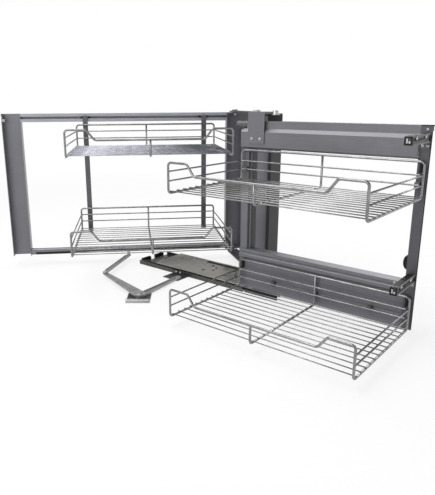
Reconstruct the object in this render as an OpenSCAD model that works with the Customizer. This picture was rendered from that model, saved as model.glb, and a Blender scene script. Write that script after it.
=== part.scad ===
// Corner swivel shelf: a floor runner carries a swing post, a front frame with two
// baskets and a hinged rear frame whose two baskets roll along its top rail.
// Millimetres, +Z up. The origin is the centre of the runner's screw holes on the
// cabinet floor, X runs along the runner and the front frame, and -Y points to the
// side where the front baskets hang.

/* [Front frame] */
// Length of the front frame along X
front_w = 550; // [480:1:620]
// Height of the front frame
front_h = 530; // [480:1:600]
// Height of the front frame's underside over the cabinet floor
front_base = 26; // [26:1:40]
// Depth of the folded frame profiles
profile_d = 30; // [28:1:36]
// Wall of the folded sheet
sheet_t = 2.5; // [2:0.1:3]
// Height of the front frame's top beam
top_beam_h = 82; // [70:1:90]
// Height of the front frame's bottom beam
bottom_beam_h = 129; // [110:1:140]
// Width of the left post of the front frame
left_post_w = 38; // [34:1:44]
// Width of the right post of the front frame
right_post_w = 27; // [24:1:32]

/* [Rear frame] */
// Angle between the rear frame and the X axis
rear_angle = 47; // [42:1:52]
// Length of the rear frame
rear_w = 898; // [860:1:940]
// Height of the rear frame
rear_h = 537; // [500:1:545]
// Height of the rear frame's underside over the cabinet floor
rear_base = 36; // [36:1:40]
// Width of the two channel uprights of the rear frame
upright_w = 68; // [60:1:76]
// Side of the square bottom tube of the rear frame
tube_s = 28; // [24:1:30]
// Height of the slotted top rail of the rear frame
rail_h = 30; // [28:1:34]

/* [Baskets] */
// Length of a front basket
front_basket_l = 536; // [500:1:536]
// Depth of a front basket
front_basket_d = 335; // [300:1:350]
// Length of a rear basket
rear_basket_l = 510; // [480:1:520]
// Depth of a rear basket
rear_basket_d = 378; // [340:1:380]
// Height of the raised corners of a basket
corner_h = 81; // [76:1:86]
// Height of the low front rail of a basket
low_rail_h = 50; // [46:1:54]
// Height of the back of a front basket
front_back_h = 90; // [84:1:92]
// Height of the back of a rear basket
rear_back_h = 80; // [74:1:84]
// Length of the raised part at each basket corner
raised_l = 64; // [54:1:70]
// Length of the slope down to the low rail
slope_l = 24; // [20:1:30]
// Height of the upper front basket over the front frame's underside
upper_front_z = 350; // [340:1:352]
// Height of the upper rear basket over the rear frame's underside
upper_rear_z = 416; // [400:1:420]
// Height of the lower rear basket over the rear frame's underside
lower_rear_z = 104; // [96:1:110]
// Diameter of the thick basket wire
thick_d = 6.4; // [6:0.1:7]
// Diameter of the side and back wires
side_d = 4.4; // [4:0.1:5]
// Diameter of the floor wires
thin_d = 3.2; // [2.8:0.1:3.6]
// Number of floor wires in a basket
floor_wires = 13; // [11:1:15]
// Inner bend radius of the thick wire
bend_r = 7; // [6:0.5:8]

/* [Runner] */
// Length of the fixed rail of the floor runner
runner_l = 486; // [460:1:500]
// Width of the fixed rail of the floor runner
runner_w = 158; // [150:1:160]
// Length of the moving top member of the floor runner
slider_l = 540; // [520:1:560]
// Diameter of the bearing balls of the runner
ball_d = 5.4; // [5:0.1:5.6]
// Number of balls in each row of the runner
balls_per_row = 9; // [6:1:12]

/* [Linkage] */
// Length of the lever between the foot pivot and the elbow
lever_l = 247; // [235:1:255]
// Length of the link between the elbow and the rear frame
link_l = 223; // [215:1:230]
// Side of the foot plate
foot_s = 76; // [70:1:84]

/* [Hidden] */

// Round parts are drawn as true circles; the wires use fewer facets in a preview.
$fn = 40;
wire_fn = 20;

// Clearances: a running fit, a seat without a fit, and a play between members.
run_fit = 0.05;
seat = 0.2;
play = 0.5;
through = 1;

thick_r = thick_d / 2;
side_r = side_d / 2;
thin_r = thin_d / 2;
weld = 0.8;
kink_swell = 0.15;
side_inset = thick_r + side_r - weld;
bend_c = bend_r + thick_r;

// Levels of the runner, from the floor up.
rail_t = 2.5;
rail_wall_h = 15;
member_t = 2;
slider_top = 22;
slider_t = 3;
slider_flange_h = 10;
ball_gap = ball_d + 2 * run_fit;
middle_floor = rail_t + play;
middle_top = slider_top - slider_t - 2;
ball_z = rail_wall_h - ball_d;

// Plan of the runner, with its four screw holes round the origin.
floor_hole_span = [386, 60];
runner_x0 = -233;
runner_x1 = runner_x0 + runner_l;
runner_y0 = -runner_w / 2;
slider_x1 = runner_x1 + 134;
slider_x0 = slider_x1 - slider_l;
middle_x0 = runner_x0 + 14;
middle_l = runner_l + 40;
middle_y0 = runner_y0 + rail_t + ball_gap;
flange_y0 = middle_y0 + member_t + ball_gap;
slider_lip = 12;
access_hole_d = 12;
access_x = [200, 300];
slot_l = 22;
slot_w = 5.5;
slot_x = [30, 44];
slot_y = 16;
cage_t = 1;
cage_h = 8;
cage_pitch = 34;
outer_cage_x0 = runner_x0 + 80;
inner_cage_x0 = runner_x0 + 160;
stop_l = 12;
stop_w = 46;
stop_inset = 20;

// Lower corner of the front frame on plan, at the end of its left post.
front_corner = [247, -87];

// Swing post and the plates that join both frames.
swing_plate_t = 6;
top_plate_t = 4;
post_x0 = 220;
post_w = 68;
post_y0 = 17;
post_d = 60;
post_t = 3;
post_lip = 14;
post_pad = 8;
post_plate_w = 60;
lip_span = [80, 300];
lip_h = 17;
post_bolt_gap = 3;
post_mid = [post_x0 + post_w / 2, post_y0 + post_d / 2];
pivot_inset = [40, 15];
front_axis = front_corner + pivot_inset;
rear_axis = [-16, 237];
plate_w = 42;
washer_t = 1.5;
lower_plate_z = slider_top;
post_z = lower_plate_z + swing_plate_t;
top_plate_z = rear_base + rear_h + washer_t;
strap_z = top_plate_z + top_plate_t + washer_t;
strap_t = 3;
strap_x0 = 27;
strap_w = 57;
strap_low_z = front_base + 464;
strap_back_y = 41;
strap_screw_inset = 14;

pin_d = 12;
lower_pin_d = 14;
pin_head_d = 22;
pin_head_h = 5;
collar_d = 26;
hinge_plate_t = 5;
pin_reach = 12;
screw_d = 8;
screw_h = 3;
screw_top_d = 5;
screw_hole_d = 5.5;

// The rear frame is drawn in its own plan: x to the near upright, -y to the baskets.
axis_inset = upright_w / 2;
rear_inner_x = -upright_w;
rear_far_x = upright_w - rear_w;
rear_top = rear_base + rear_h;
rear_basket_gap = 51;
rear_basket_x1 = rear_inner_x - rear_basket_gap;
basket_back_y = -15;
hanger_w = 18;
hanger_t = 6;
hanger_gap = 3;
hanger_inset = [38, 32];
hanger_x = [rear_basket_x1 - hanger_inset[0], rear_basket_x1 - rear_basket_l + hanger_inset[1]];
hanger_y = -hanger_gap - hanger_t;
hanger_tail = 12;
rail_slot_h = 8;
tongue_h = 6;
rail_slot_z = rear_top - rail_h / 2;
glide_l = 34;
hook_w = 14;
hook_h = 12;
hook_reach = 26;
hook_t = 4;

// The front frame's beams are folded sheet with a proud lower face.
front_top = front_base + front_h;
top_beam_z = front_top - top_beam_h;
bottom_beam_top = front_base + bottom_beam_h;
proud = 8;
ridge = 5;
crease_drop = 32;
crease_z = front_top - crease_drop;
fold_h = 10;
ridge_h = 27;
end_plate_t = 2.5;
left_face_w = 25;
left_step = 8;
right_post_x0 = front_w - right_post_w;
block_x0 = 88;
block_l = 34;
block_inset = 2;
block_top = top_plate_z - 1;
washer_d = 24;
washer_h = 2;
cap_d = 18;
cap_h = 13;
roller_d = 24;
roller_l = 42;
roller_z = front_top - roller_d / 2 - 0.5;
notch_l = 16;

// The front baskets stand clear of the frame's face by the depth of their clips.
front_basket_x0 = 7;
front_basket_y = -10;
clip_w = 12;
clip_h = 14;
beam_clip_x = [132, 275, 440];
post_clip_inset = [20, 20];
floor_end = 2;
wire_end = 1;
lower_wire = 0.40;
upper_wire = 0.71;

// Plan of the linkage on the floor. Its link passes over the fixed rail.
foot_p = [29, -337];
foot_turn = 40;
foot_t = 3;
foot_hole_span = 50;
foot_lip_d = 8;
lever_angle = 165;
link_angle = 115;
elbow_p = foot_p + lever_l * [cos(lever_angle), sin(lever_angle)];
link_p = elbow_p + link_l * [cos(link_angle), sin(link_angle)];
brace_t = 5;
lever_t = 4;
link_t = 4;
link_gap = 1;
link_z = middle_top + play;
lever_z = link_z - link_gap - lever_t;
lever_wide = 40;
lever_narrow = 18;
link_w = 18;
brace_w = 20;
brace_foot_w = 28;
foot_pin_d = 12;
elbow_pin_d = 8;
rivet_h = 2;
rivet_d = 14;
stud_gap = 1.5;
stud_top = rear_base - stud_gap;
bracket_x0 = -53;
bracket_w = 70;
bracket_reach = 58;
bracket_t = 3;
bracket_h = 14;
bracket_screw_x = [bracket_x0 + 14, bracket_x0 + 34];
bracket_screw_z = 8.5;
brace_from = [1, -115];

// Slides that carry a door, on the right post of the front frame.
door_slide_l = 128;
door_slide_w = 17;
door_slide_h = 22;
door_slide_t = 1.5;
door_member_l = 120;
door_low = 134;
door_drop = 41;
door_z = [front_base + door_low, front_top - door_drop];
door_inset = 2;
door_x0 = front_w - door_slide_w - door_inset;
door_flange_h = 16;
door_flange_x = 4;
door_lip = 4;
door_cap_l = 6;
door_cap_inset = 3;
door_hole_d = 4.5;
door_hole_step = 40;
door_hole_y = 20;
door_screw_inset = 5;
buffer_d = 9;
buffer_z = front_base + 168;
buffer_l = 28;

frame_grey = "dimgray";
post_grey = "slategray";
zinc = "darkgray";
chrome = "lightsteelblue";
steel = "silver";
black = "black";

// Offset of a corner of an open outline to its left, for sheet of thickness t.
function unit(v) = v / norm(v);
function left_of(v) = [-v[1], v[0]];
function mitre(p, i, t) =
    let (
        last = len(p) - 1,
        before = unit(p[max(i, 1)] - p[max(i, 1) - 1]),
        after = unit(p[min(i, last - 1) + 1] - p[min(i, last - 1)]),
        m = unit(left_of(before) + left_of(after))
    )
    p[i] + m * t / (m * left_of(before));

// Section of a folded sheet: the outline given is one face, the other lies to its left.
module sheet(p, t) {
    polygon(concat(p, [for (i = [len(p) - 1 : -1 : 0]) mitre(p, i, t)]));
}

// Extrudes a section drawn in Y and Z along X.
module along_x(x0, l) {
    translate([x0, 0, 0])
        rotate([90, 0, 90])
            linear_extrude(l)
                children();
}

// Extrudes a section drawn in X and Z along -Y.
module along_y(y0, l) {
    translate([0, y0, 0])
        rotate([90, 0, 0])
            linear_extrude(l)
                children();
}

// Places what belongs to the rear frame.
module rear_place() {
    translate([rear_axis[0], rear_axis[1], 0])
        rotate([0, 0, rear_angle])
            translate([axis_inset, -profile_d / 2, 0])
                children();
}

// A straight round wire between two points.
module rod(from, to, r) {
    run = to - from;
    len = norm(run);
    translate(from)
        rotate([0, acos(run[2] / len), atan2(run[1], run[0])])
            cylinder(h = len, r = r, $fn = wire_fn);
}

// A wire bend: a quarter or part of a ring in the local XZ plane.
// It starts along +X at the origin and turns upward by the angle given.
module bend(angle, radius, r) {
    translate([0, 0, radius])
        rotate([90, 0, 0])
            rotate([0, 0, -90])
                rotate_extrude(angle = angle, $fn = 2 * wire_fn)
                    translate([radius, 0])
                        circle(r = r, $fn = wire_fn);
}

// The same bend turned downward.
module bend_down(angle, radius, r) {
    mirror([0, 0, 1])
        bend(angle, radius, r);
}

// A flat steel bar between two plan points, with round ends.
module link_bar(from, to, w_from, w_to, z, t) {
    run = to - from;
    turn = atan2(run[1], run[0]);
    translate([from[0], from[1], z])
        rotate([0, 0, turn]) {
            linear_extrude(t)
                polygon([[0, -w_from / 2], [norm(run), -w_to / 2], [norm(run), w_to / 2], [0, w_from / 2]]);
            cylinder(h = t, d = w_from);
            translate([norm(run), 0, 0])
                cylinder(h = t, d = w_to);
        }
}

// Outline of one arm of a plate: round at the far end, straight sides to the middle.
module arm_outline(from, to, w_from, w_to) {
    run = to - from;
    turn = atan2(run[1], run[0]);
    translate(from)
        rotate(turn) {
            circle(d = w_from);
            polygon([[0, -w_from / 2], [norm(run), -w_to / 2], [norm(run), w_to / 2], [0, w_from / 2]]);
        }
}

// A pan head screw whose head points along -Y.
module head_y(x, y, z) {
    translate([x, y, z])
        rotate([90, 0, 0])
            cylinder(h = screw_h, d1 = screw_d, d2 = screw_top_d);
}

// Places what belongs to the front frame.
module front_place() {
    translate([front_corner[0], front_corner[1], 0])
        children();
}

// Basket parts, drawn with the back left corner of the floor at the origin.

// Floor: two thick side bars, a thick middle bar and the thin wires across them.
module basket_floor(l, d) {
    bar_from = -bend_c;
    bar_to = -d + bend_c;
    thin_z = thick_r + thin_r - weld;
    first_y = -bend_c - floor_end;
    step = (d + 2 * first_y) / (floor_wires - 1);
    color(chrome)
        union() {
            for (x = [0, l / 2, l])
                rod([x, bar_from, 0], [x, bar_to, 0], thick_r);
            for (i = [0 : floor_wires - 1])
                rod([-thick_r - wire_end, first_y - i * step, thin_z],
                    [l + thick_r + wire_end, first_y - i * step, thin_z], thin_r);
        }
}

// One raised corner of the front rail, from the side bar to the foot of its slope.
module rail_corner(d) {
    high = [raised_l, -d, corner_h];
    low = [raised_l + slope_l, -d, low_rail_h];
    translate([0, -d + bend_c, 0])
        rotate([0, 0, -90])
            bend(90, bend_c, thick_r);
    rod([0, -d, bend_c], [0, -d, corner_h - bend_c], thick_r);
    translate([bend_c, -d, corner_h])
        mirror([1, 0, 0])
            bend_down(90, bend_c, thick_r);
    rod([bend_c, -d, corner_h], high, thick_r);
    rod(high, low, thick_r);
    for (kink = [high, low])
        translate(kink)
            sphere(r = thick_r + kink_swell, $fn = wire_fn);
}

// Front rail: raised corners, slopes, the low rail and the middle support.
module basket_front(l, d) {
    rail_end = raised_l + slope_l;
    color(chrome)
        union() {
            rail_corner(d);
            translate([l, 0, 0])
                mirror([1, 0, 0])
                    rail_corner(d);
            rod([rail_end, -d, low_rail_h], [l - rail_end, -d, low_rail_h], thick_r);
            translate([l / 2, -d + bend_c, 0])
                rotate([0, 0, -90])
                    bend(90, bend_c, thick_r);
            rod([l / 2, -d, bend_c], [l / 2, -d, low_rail_h - weld], thick_r);
        }
}

// One side wire with its bend at the back corner, on the left of the basket.
module half_side_wire(d, z) {
    turn_r = bend_r + side_r;
    front_y = -d + thick_r + play / 2;
    rod([0, front_y, z], [0, -side_inset - turn_r, z], side_r);
    translate([turn_r, -side_inset - turn_r, z])
        rotate([0, 0, 90])
            rotate_extrude(angle = 90, $fn = 2 * wire_fn)
                translate([turn_r, 0])
                    circle(r = side_r, $fn = wire_fn);
}

// Back: a thick loop with a middle support, and two wires round back and sides.
module basket_back(l, d, back_h) {
    wire_z = [corner_h * lower_wire, corner_h * upper_wire];
    color(chrome)
        union() {
            for (m = [0, 1])
                translate([m * l, 0, 0])
                    mirror([m, 0, 0]) {
                        translate([0, -bend_c, 0])
                            rotate([0, 0, 90])
                                bend(90, bend_c, thick_r);
                        rod([0, 0, bend_c], [0, 0, back_h - bend_c], thick_r);
                        translate([bend_c, 0, back_h])
                            mirror([1, 0, 0])
                                bend_down(90, bend_c, thick_r);
                        for (z = wire_z)
                            half_side_wire(d, z);
                    }
            rod([bend_c, 0, back_h], [l - bend_c, 0, back_h], thick_r);
            for (z = wire_z)
                rod([bend_r + side_r, -side_inset, z], [l - bend_r - side_r, -side_inset, z], side_r);
            translate([l / 2, -bend_c, 0])
                rotate([0, 0, 90])
                    bend(90, bend_c, thick_r);
            rod([l / 2, 0, bend_c], [l / 2, 0, back_h - weld], thick_r);
        }
}

// Front baskets: 0 is the lower one, 1 the upper one.
module front_basket_place(i) {
    front_place()
        translate([front_basket_x0, front_basket_y, front_base + thick_r + i * upper_front_z])
            children();
}

// Rear baskets: 0 is the lower one, 1 the upper one.
module rear_basket_place(i) {
    rise = i == 1 ? upper_rear_z : lower_rear_z;
    rear_place()
        translate([rear_basket_x1 - rear_basket_l, basket_back_y, rear_base + rise])
            children();
}

module rear_upper_floor() { rear_basket_place(1) basket_floor(rear_basket_l, rear_basket_d); }
module rear_upper_front_rail() { rear_basket_place(1) basket_front(rear_basket_l, rear_basket_d); }
module rear_upper_back() { rear_basket_place(1) basket_back(rear_basket_l, rear_basket_d, rear_back_h); }
module rear_lower_floor() { rear_basket_place(0) basket_floor(rear_basket_l, rear_basket_d); }
module rear_lower_front_rail() { rear_basket_place(0) basket_front(rear_basket_l, rear_basket_d); }
module rear_lower_back() { rear_basket_place(0) basket_back(rear_basket_l, rear_basket_d, rear_back_h); }
module front_upper_floor() { front_basket_place(1) basket_floor(front_basket_l, front_basket_d); }
module front_upper_front_rail() { front_basket_place(1) basket_front(front_basket_l, front_basket_d); }
module front_upper_back() { front_basket_place(1) basket_back(front_basket_l, front_basket_d, front_back_h); }
module front_lower_floor() { front_basket_place(0) basket_floor(front_basket_l, front_basket_d); }
module front_lower_front_rail() { front_basket_place(0) basket_front(front_basket_l, front_basket_d); }
module front_lower_back() { front_basket_place(0) basket_back(front_basket_l, front_basket_d, front_back_h); }

// Floor runner: the fixed rail is a wide channel screwed to the cabinet floor.
module floor_holes(z, h, d) {
    for (x = [-1, 1], y = [-1, 1])
        translate([x * floor_hole_span[0] / 2, y * floor_hole_span[1] / 2, z])
            cylinder(h = h, d = d);
}

// Section of a channel that lies symmetric about the runner's centre line.
module channel(y0, z0, z1, t) {
    sheet([[y0, z1], [y0, z0], [-y0, z0], [-y0, z1]], t);
}

module runner_rail() {
    color(zinc)
        difference() {
            along_x(runner_x0, runner_l)
                channel(runner_y0, 0, rail_wall_h, rail_t);
            floor_holes(-through, rail_t + 2 * through, screw_hole_d);
        }
}

// Middle member, a channel that runs between the two rows of balls.
module runner_middle() {
    color(zinc)
        difference() {
            along_x(middle_x0, middle_l)
                channel(middle_y0, middle_floor, middle_top, member_t);
            floor_holes(0, middle_top, access_hole_d);
        }
}

// Top member: a plate with two flanges, slots and holes, under the swing post.
module runner_slider() {
    plate_z = slider_top - slider_t;
    plate_y = flange_y0 - slider_lip;
    color(zinc)
        difference() {
            union() {
                translate([slider_x0, plate_y, plate_z])
                    cube([slider_l, -2 * plate_y, slider_t]);
                for (y = [flange_y0, -flange_y0 - member_t])
                    translate([slider_x0, y, plate_z - slider_flange_h])
                        cube([slider_l, member_t, slider_flange_h + through]);
            }
            for (x = slot_x)
                translate([slider_x0 + x, slot_y, 0])
                    cube([slot_w, slot_l, slider_top + through]);
            for (x = access_x, y = [-1, 1])
                translate([slider_x0 + x, y * floor_hole_span[1] / 2, 0])
                    cylinder(h = slider_top + through, d = access_hole_d);
        }
}

// A row of balls in the round windows of a strip, on each side of the runner.
module ball_cage(x0, y, z) {
    color(steel)
        for (row_y = [y, -y]) {
            difference() {
                translate([x0 - cage_pitch / 2, row_y - cage_t / 2, z - cage_h / 2])
                    cube([balls_per_row * cage_pitch, cage_t, cage_h]);
                for (i = [0 : balls_per_row - 1])
                    translate([x0 + i * cage_pitch, row_y - cage_t, z])
                        rotate([-90, 0, 0])
                            cylinder(h = 2 * cage_t, d = ball_d + 2 * seat);
            }
            for (i = [0 : balls_per_row - 1])
                translate([x0 + i * cage_pitch, row_y, z])
                    sphere(d = ball_d);
        }
}
module outer_ball_cage() { ball_cage(outer_cage_x0, middle_y0 - ball_gap / 2, ball_z); }
module inner_ball_cage() {
    ball_cage(inner_cage_x0, flange_y0 - ball_gap / 2, slider_top - slider_t - slider_flange_h / 2);
}

// Moulded stops at the closed end of the fixed rail.
module runner_end_stops() {
    color(black)
        for (y = [runner_y0 + stop_inset, -runner_y0 - stop_inset - stop_w])
            translate([runner_x0 - stop_l, y, 0])
                cube([stop_l, stop_w, rail_wall_h]);
}

// Bracket that ties the linkage's foot to the runner.
module linkage_bracket() {
    color(zinc)
        along_x(bracket_x0, bracket_w)
            sheet([[runner_y0, bracket_h], [runner_y0, 0], [runner_y0 - bracket_reach, 0]], -bracket_t);
}

module bracket_screws() {
    color(steel)
        for (x = bracket_screw_x)
            head_y(x, runner_y0 - bracket_t, bracket_screw_z);
}

// Bar between the bracket and the foot.
module brace_bar() {
    color(zinc)
        difference() {
            link_bar(brace_from, foot_p, brace_w, brace_foot_w, bracket_t, brace_t);
            translate([foot_p[0], foot_p[1], 0])
                cylinder(h = lever_z, d = foot_pin_d + 2 * seat);
        }
}

// Foot plate with a rolled lip on the edge away from the runner.
module foot_plate() {
    color(zinc)
        translate([foot_p[0], foot_p[1], 0])
            rotate([0, 0, foot_turn])
                difference() {
                    union() {
                        translate([-foot_s / 2, -foot_s / 2, 0])
                            cube([foot_s, foot_s, foot_t]);
                        translate([-foot_s / 2, -foot_s / 2, foot_lip_d / 2])
                            rotate([0, 90, 0])
                                cylinder(h = foot_s, d = foot_lip_d);
                    }
                    for (x = [-1, 1], y = [-1, 1])
                        translate([x * foot_hole_span / 2, y * foot_hole_span / 2, -through])
                            cylinder(h = foot_t + 2 * through, d = screw_hole_d);
                }
}

// Pin on which the lever turns, with a collar under the lever and a head over it.
module foot_pivot_pin() {
    collar_z = bracket_t + brace_t;
    head_z = lever_z + lever_t + run_fit;
    color(steel)
        translate([foot_p[0], foot_p[1], 0])
            union() {
                translate([0, 0, foot_t])
                    cylinder(h = head_z + rivet_h - foot_t, d = foot_pin_d);
                translate([0, 0, collar_z])
                    cylinder(h = lever_z - run_fit - collar_z, d = pin_head_d);
                translate([0, 0, head_z])
                    cylinder(h = rivet_h, d = pin_head_d);
            }
}

module lever_arm() {
    color(zinc)
        difference() {
            link_bar(foot_p, elbow_p, lever_wide, lever_narrow, lever_z, lever_t);
            translate([foot_p[0], foot_p[1], 0])
                cylinder(h = link_z, d = foot_pin_d + 2 * run_fit);
            translate([elbow_p[0], elbow_p[1], 0])
                cylinder(h = link_z, d = elbow_pin_d);
        }
}

// Pin riveted into the lever; the link turns on it between a collar and a head.
module elbow_pin() {
    head_z = link_z + link_t + run_fit;
    color(steel)
        translate([elbow_p[0], elbow_p[1], 0])
            union() {
                translate([0, 0, lever_z])
                    cylinder(h = head_z + rivet_h - lever_z, d = elbow_pin_d);
                translate([0, 0, lever_z + lever_t])
                    cylinder(h = link_gap - run_fit, d = rivet_d);
                translate([0, 0, head_z])
                    cylinder(h = rivet_h, d = rivet_d);
            }
}

module link_arm() {
    color(zinc)
        difference() {
            link_bar(elbow_p, link_p, link_w, link_w, link_z, link_t);
            translate([elbow_p[0], elbow_p[1], 0])
                cylinder(h = 2 * link_z, d = elbow_pin_d + 2 * run_fit);
        }
}

// Stud under the rear frame's tube, where the linkage takes hold of it.
module link_stud() {
    color(steel)
        translate([link_p[0], link_p[1], link_z + link_t])
            cylinder(h = stud_top - link_z - link_t, d = pin_d);
}

// Plates that carry the rear frame's hinge below and above, and the post between.
module lower_swing_plate() {
    color(post_grey)
        union() {
            link_bar(post_mid, rear_axis, post_plate_w, plate_w, lower_plate_z, swing_plate_t);
            translate([post_x0 - post_pad, post_y0 - post_pad, lower_plate_z])
                cube([post_w + 2 * post_pad, post_d + 2 * post_pad, swing_plate_t]);
        }
}

module swing_post() {
    x1 = post_x0 + post_w;
    y1 = post_y0 + post_d;
    color(post_grey)
        translate([0, 0, post_z])
            linear_extrude(top_plate_z - post_z)
                sheet([[post_x0 + post_lip, y1], [post_x0, y1], [post_x0, post_y0],
                    [x1, post_y0], [x1, y1], [x1 - post_lip, y1]], post_t);
}

module top_swing_plate() {
    hub_w = post_plate_w + 2;
    run = post_mid - rear_axis;
    edge = [for (x = lip_span) -plate_w / 2 - (post_plate_w - plate_w) / 2 * x / norm(run) + play];
    color(post_grey) {
        translate([rear_axis[0], rear_axis[1], top_plate_z - lip_h])
            rotate([0, 0, atan2(run[1], run[0])])
                linear_extrude(lip_h + top_plate_t / 2)
                    polygon([[lip_span[0], edge[0]], [lip_span[1], edge[1]],
                        [lip_span[1], edge[1] + sheet_t], [lip_span[0], edge[0] + sheet_t]]);
        translate([0, 0, top_plate_z])
            linear_extrude(top_plate_t)
                difference() {
                    union() {
                        arm_outline(rear_axis, post_mid, plate_w, post_plate_w);
                        arm_outline(front_axis, post_mid, plate_w, post_plate_w);
                        translate(post_mid)
                            circle(d = hub_w);
                    }
                    for (p = [front_axis, rear_axis])
                        translate(p)
                            circle(d = pin_d);
                }
    }
}

// Screws that hold the post to its lower plate.
module post_bolts() {
    bolt_x = post_bolt_gap;
    bolt_y = post_bolt_gap + 1;
    color(steel)
        for (x = [post_x0 - bolt_x, post_x0 + post_w + bolt_x], y = [post_y0 + bolt_y, post_y0 + post_d - bolt_y])
            translate([x, y, post_z])
                cylinder(h = screw_h, d1 = screw_top_d, d2 = screw_top_d);
}

// Pivots: a collar that takes the weight, with a shank above it.
module front_lower_pivot() {
    color(steel)
        translate([front_axis[0], front_axis[1], slider_top])
            union() {
                cylinder(h = front_base - slider_top - run_fit, d = collar_d);
                cylinder(h = front_base - slider_top + pin_reach, d = lower_pin_d);
            }
}

module front_upper_pivot() {
    head_z = strap_z + strap_t + run_fit;
    color(steel)
        translate([front_axis[0], front_axis[1], 0])
            union() {
                translate([0, 0, top_plate_z - pin_head_h])
                    cylinder(h = pin_head_h, d = pin_head_d);
                translate([0, 0, top_plate_z])
                    cylinder(h = head_z + pin_head_h - top_plate_z, d = pin_d);
                translate([0, 0, top_plate_z + top_plate_t])
                    cylinder(h = washer_t - run_fit, d = pin_head_d);
                translate([0, 0, head_z])
                    cylinder(h = pin_head_h, d = pin_head_d);
            }
}

module rear_lower_pivot() {
    color(steel)
        translate([rear_axis[0], rear_axis[1], post_z])
            union() {
                cylinder(h = rear_base - post_z - run_fit, d = collar_d);
                cylinder(h = rear_base - post_z + pin_reach, d = pin_d);
            }
}

module rear_upper_pivot() {
    color(steel)
        translate([rear_axis[0], rear_axis[1], top_plate_z])
            union() {
                translate([0, 0, -pin_reach])
                    cylinder(h = pin_reach + top_plate_t, d = pin_d);
                translate([0, 0, top_plate_t])
                    cylinder(h = pin_head_h, d = pin_head_d);
            }
}

// Rear frame: two open channels, a slotted rail above and a square tube below.
module upright(x0) {
    x1 = x0 + upright_w;
    rear_place()
        translate([0, 0, rear_base])
            linear_extrude(rear_h)
                sheet([[x1, 0], [x1, profile_d], [x0, profile_d], [x0, 0]], sheet_t);
}
module rear_near_upright() { color(frame_grey) upright(-upright_w); }
module rear_far_upright() { color(frame_grey) upright(-rear_w); }

module rear_top_rail() {
    z0 = rear_top - rail_h;
    slot_low = rail_slot_z - rail_slot_h / 2;
    slot_high = rail_slot_z + rail_slot_h / 2;
    color(frame_grey)
        rear_place()
            along_x(rear_far_x, rear_inner_x - rear_far_x)
                sheet([[0, slot_high], [0, rear_top], [profile_d, rear_top],
                    [profile_d, z0], [0, z0], [0, slot_low]], -sheet_t);
}

module rear_bottom_tube() {
    mid = [profile_d / 2 - tube_s / 2, rear_base];
    color(frame_grey)
        rear_place()
            along_x(rear_far_x, rear_inner_x - rear_far_x)
                translate(mid)
                    difference() {
                        square([tube_s, tube_s]);
                        translate([sheet_t, sheet_t])
                            square([tube_s - 2 * sheet_t, tube_s - 2 * sheet_t]);
                    }
}

// Plates in the ends of the near upright, bored for the hinge pins.
module rear_hinge_plates() {
    color(frame_grey)
        rear_place()
            for (z = [rear_base, rear_top - hinge_plate_t])
                difference() {
                    translate([rear_inner_x + sheet_t, 0, z])
                        cube([upright_w - 2 * sheet_t, profile_d - sheet_t, hinge_plate_t]);
                    translate([-axis_inset, profile_d / 2, z - through])
                        cylinder(h = hinge_plate_t + 2 * through, d = pin_d + 2 * run_fit);
                }
}

// Carriage of the rear baskets: glides in the rail, and a flat post under each.
module glide_blocks() {
    color(black)
        rear_place()
            for (x = hanger_x)
                translate([x - glide_l / 2, sheet_t + play, rear_top - rail_h + sheet_t + play])
                    cube([glide_l, profile_d - 2 * sheet_t - 2 * play, rail_h - 2 * sheet_t - 2 * play]);
}

module hanger_posts() {
    hanger_z0 = rear_base + lower_rear_z - hanger_tail;
    color(post_grey)
        rear_place()
            for (x = hanger_x)
                union() {
                    translate([x - hanger_w / 2, hanger_y, hanger_z0])
                        cube([hanger_w, hanger_t, rail_slot_z + tongue_h - hanger_z0]);
                    translate([x - hanger_w / 2, hanger_y, rail_slot_z - tongue_h / 2])
                        cube([hanger_w, hanger_t + hanger_gap + sheet_t + play, tongue_h]);
                }
}

// Hooks on the posts: a pad behind the top wire and an arm under the floor wires.
module rear_basket_hooks() {
    pad_y = basket_back_y + thick_r + seat / 2;
    arm_top = thick_r - weld - seat / 2;
    color(post_grey)
        rear_place()
            for (x = hanger_x, rise = [lower_rear_z, upper_rear_z])
                translate([x - hook_w / 2, 0, rear_base + rise]) {
                    translate([0, pad_y, rear_back_h - hook_h / 2])
                        cube([hook_w, hanger_y - pad_y, hook_h]);
                    translate([0, hanger_y - hook_reach, arm_top - hook_t])
                        cube([hook_w, hook_reach, hook_t]);
                }
}

// Front frame: posts and beams of folded sheet.
module front_left_post() {
    color(frame_grey)
        front_place()
            translate([0, 0, bottom_beam_top])
                linear_extrude(top_beam_z - bottom_beam_top)
                    sheet([[0, profile_d], [0, 0], [left_face_w, 0], [left_face_w + left_step / 2, left_step],
                        [left_post_w, left_step], [left_post_w, profile_d]], sheet_t);
}

module front_right_post() {
    x0 = right_post_x0;
    color(frame_grey)
        front_place()
            translate([0, 0, front_base])
                linear_extrude(front_h)
                    sheet([[x0, profile_d], [x0, 0], [front_w, 0], [front_w, profile_d]], sheet_t);
}

module front_top_beam() {
    outline = [[profile_d, front_top], [0, front_top], [0, crease_z + fold_h], [-proud, crease_z],
        [-proud, top_beam_z + fold_h / 2], [-proud + fold_h / 2, top_beam_z], [profile_d, top_beam_z]];
    color(frame_grey)
        front_place() {
            difference() {
                union() {
                    along_x(0, right_post_x0)
                        sheet(outline, sheet_t);
                    along_x(0, end_plate_t)
                        polygon(outline);
                }
                translate([-through, -2 * proud, roller_z - roller_d / 2 - through])
                    cube([notch_l + through, profile_d + 4 * proud, front_top - crease_z]);
            }
            along_x(notch_l, end_plate_t)
                polygon(outline);
        }
}

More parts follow.
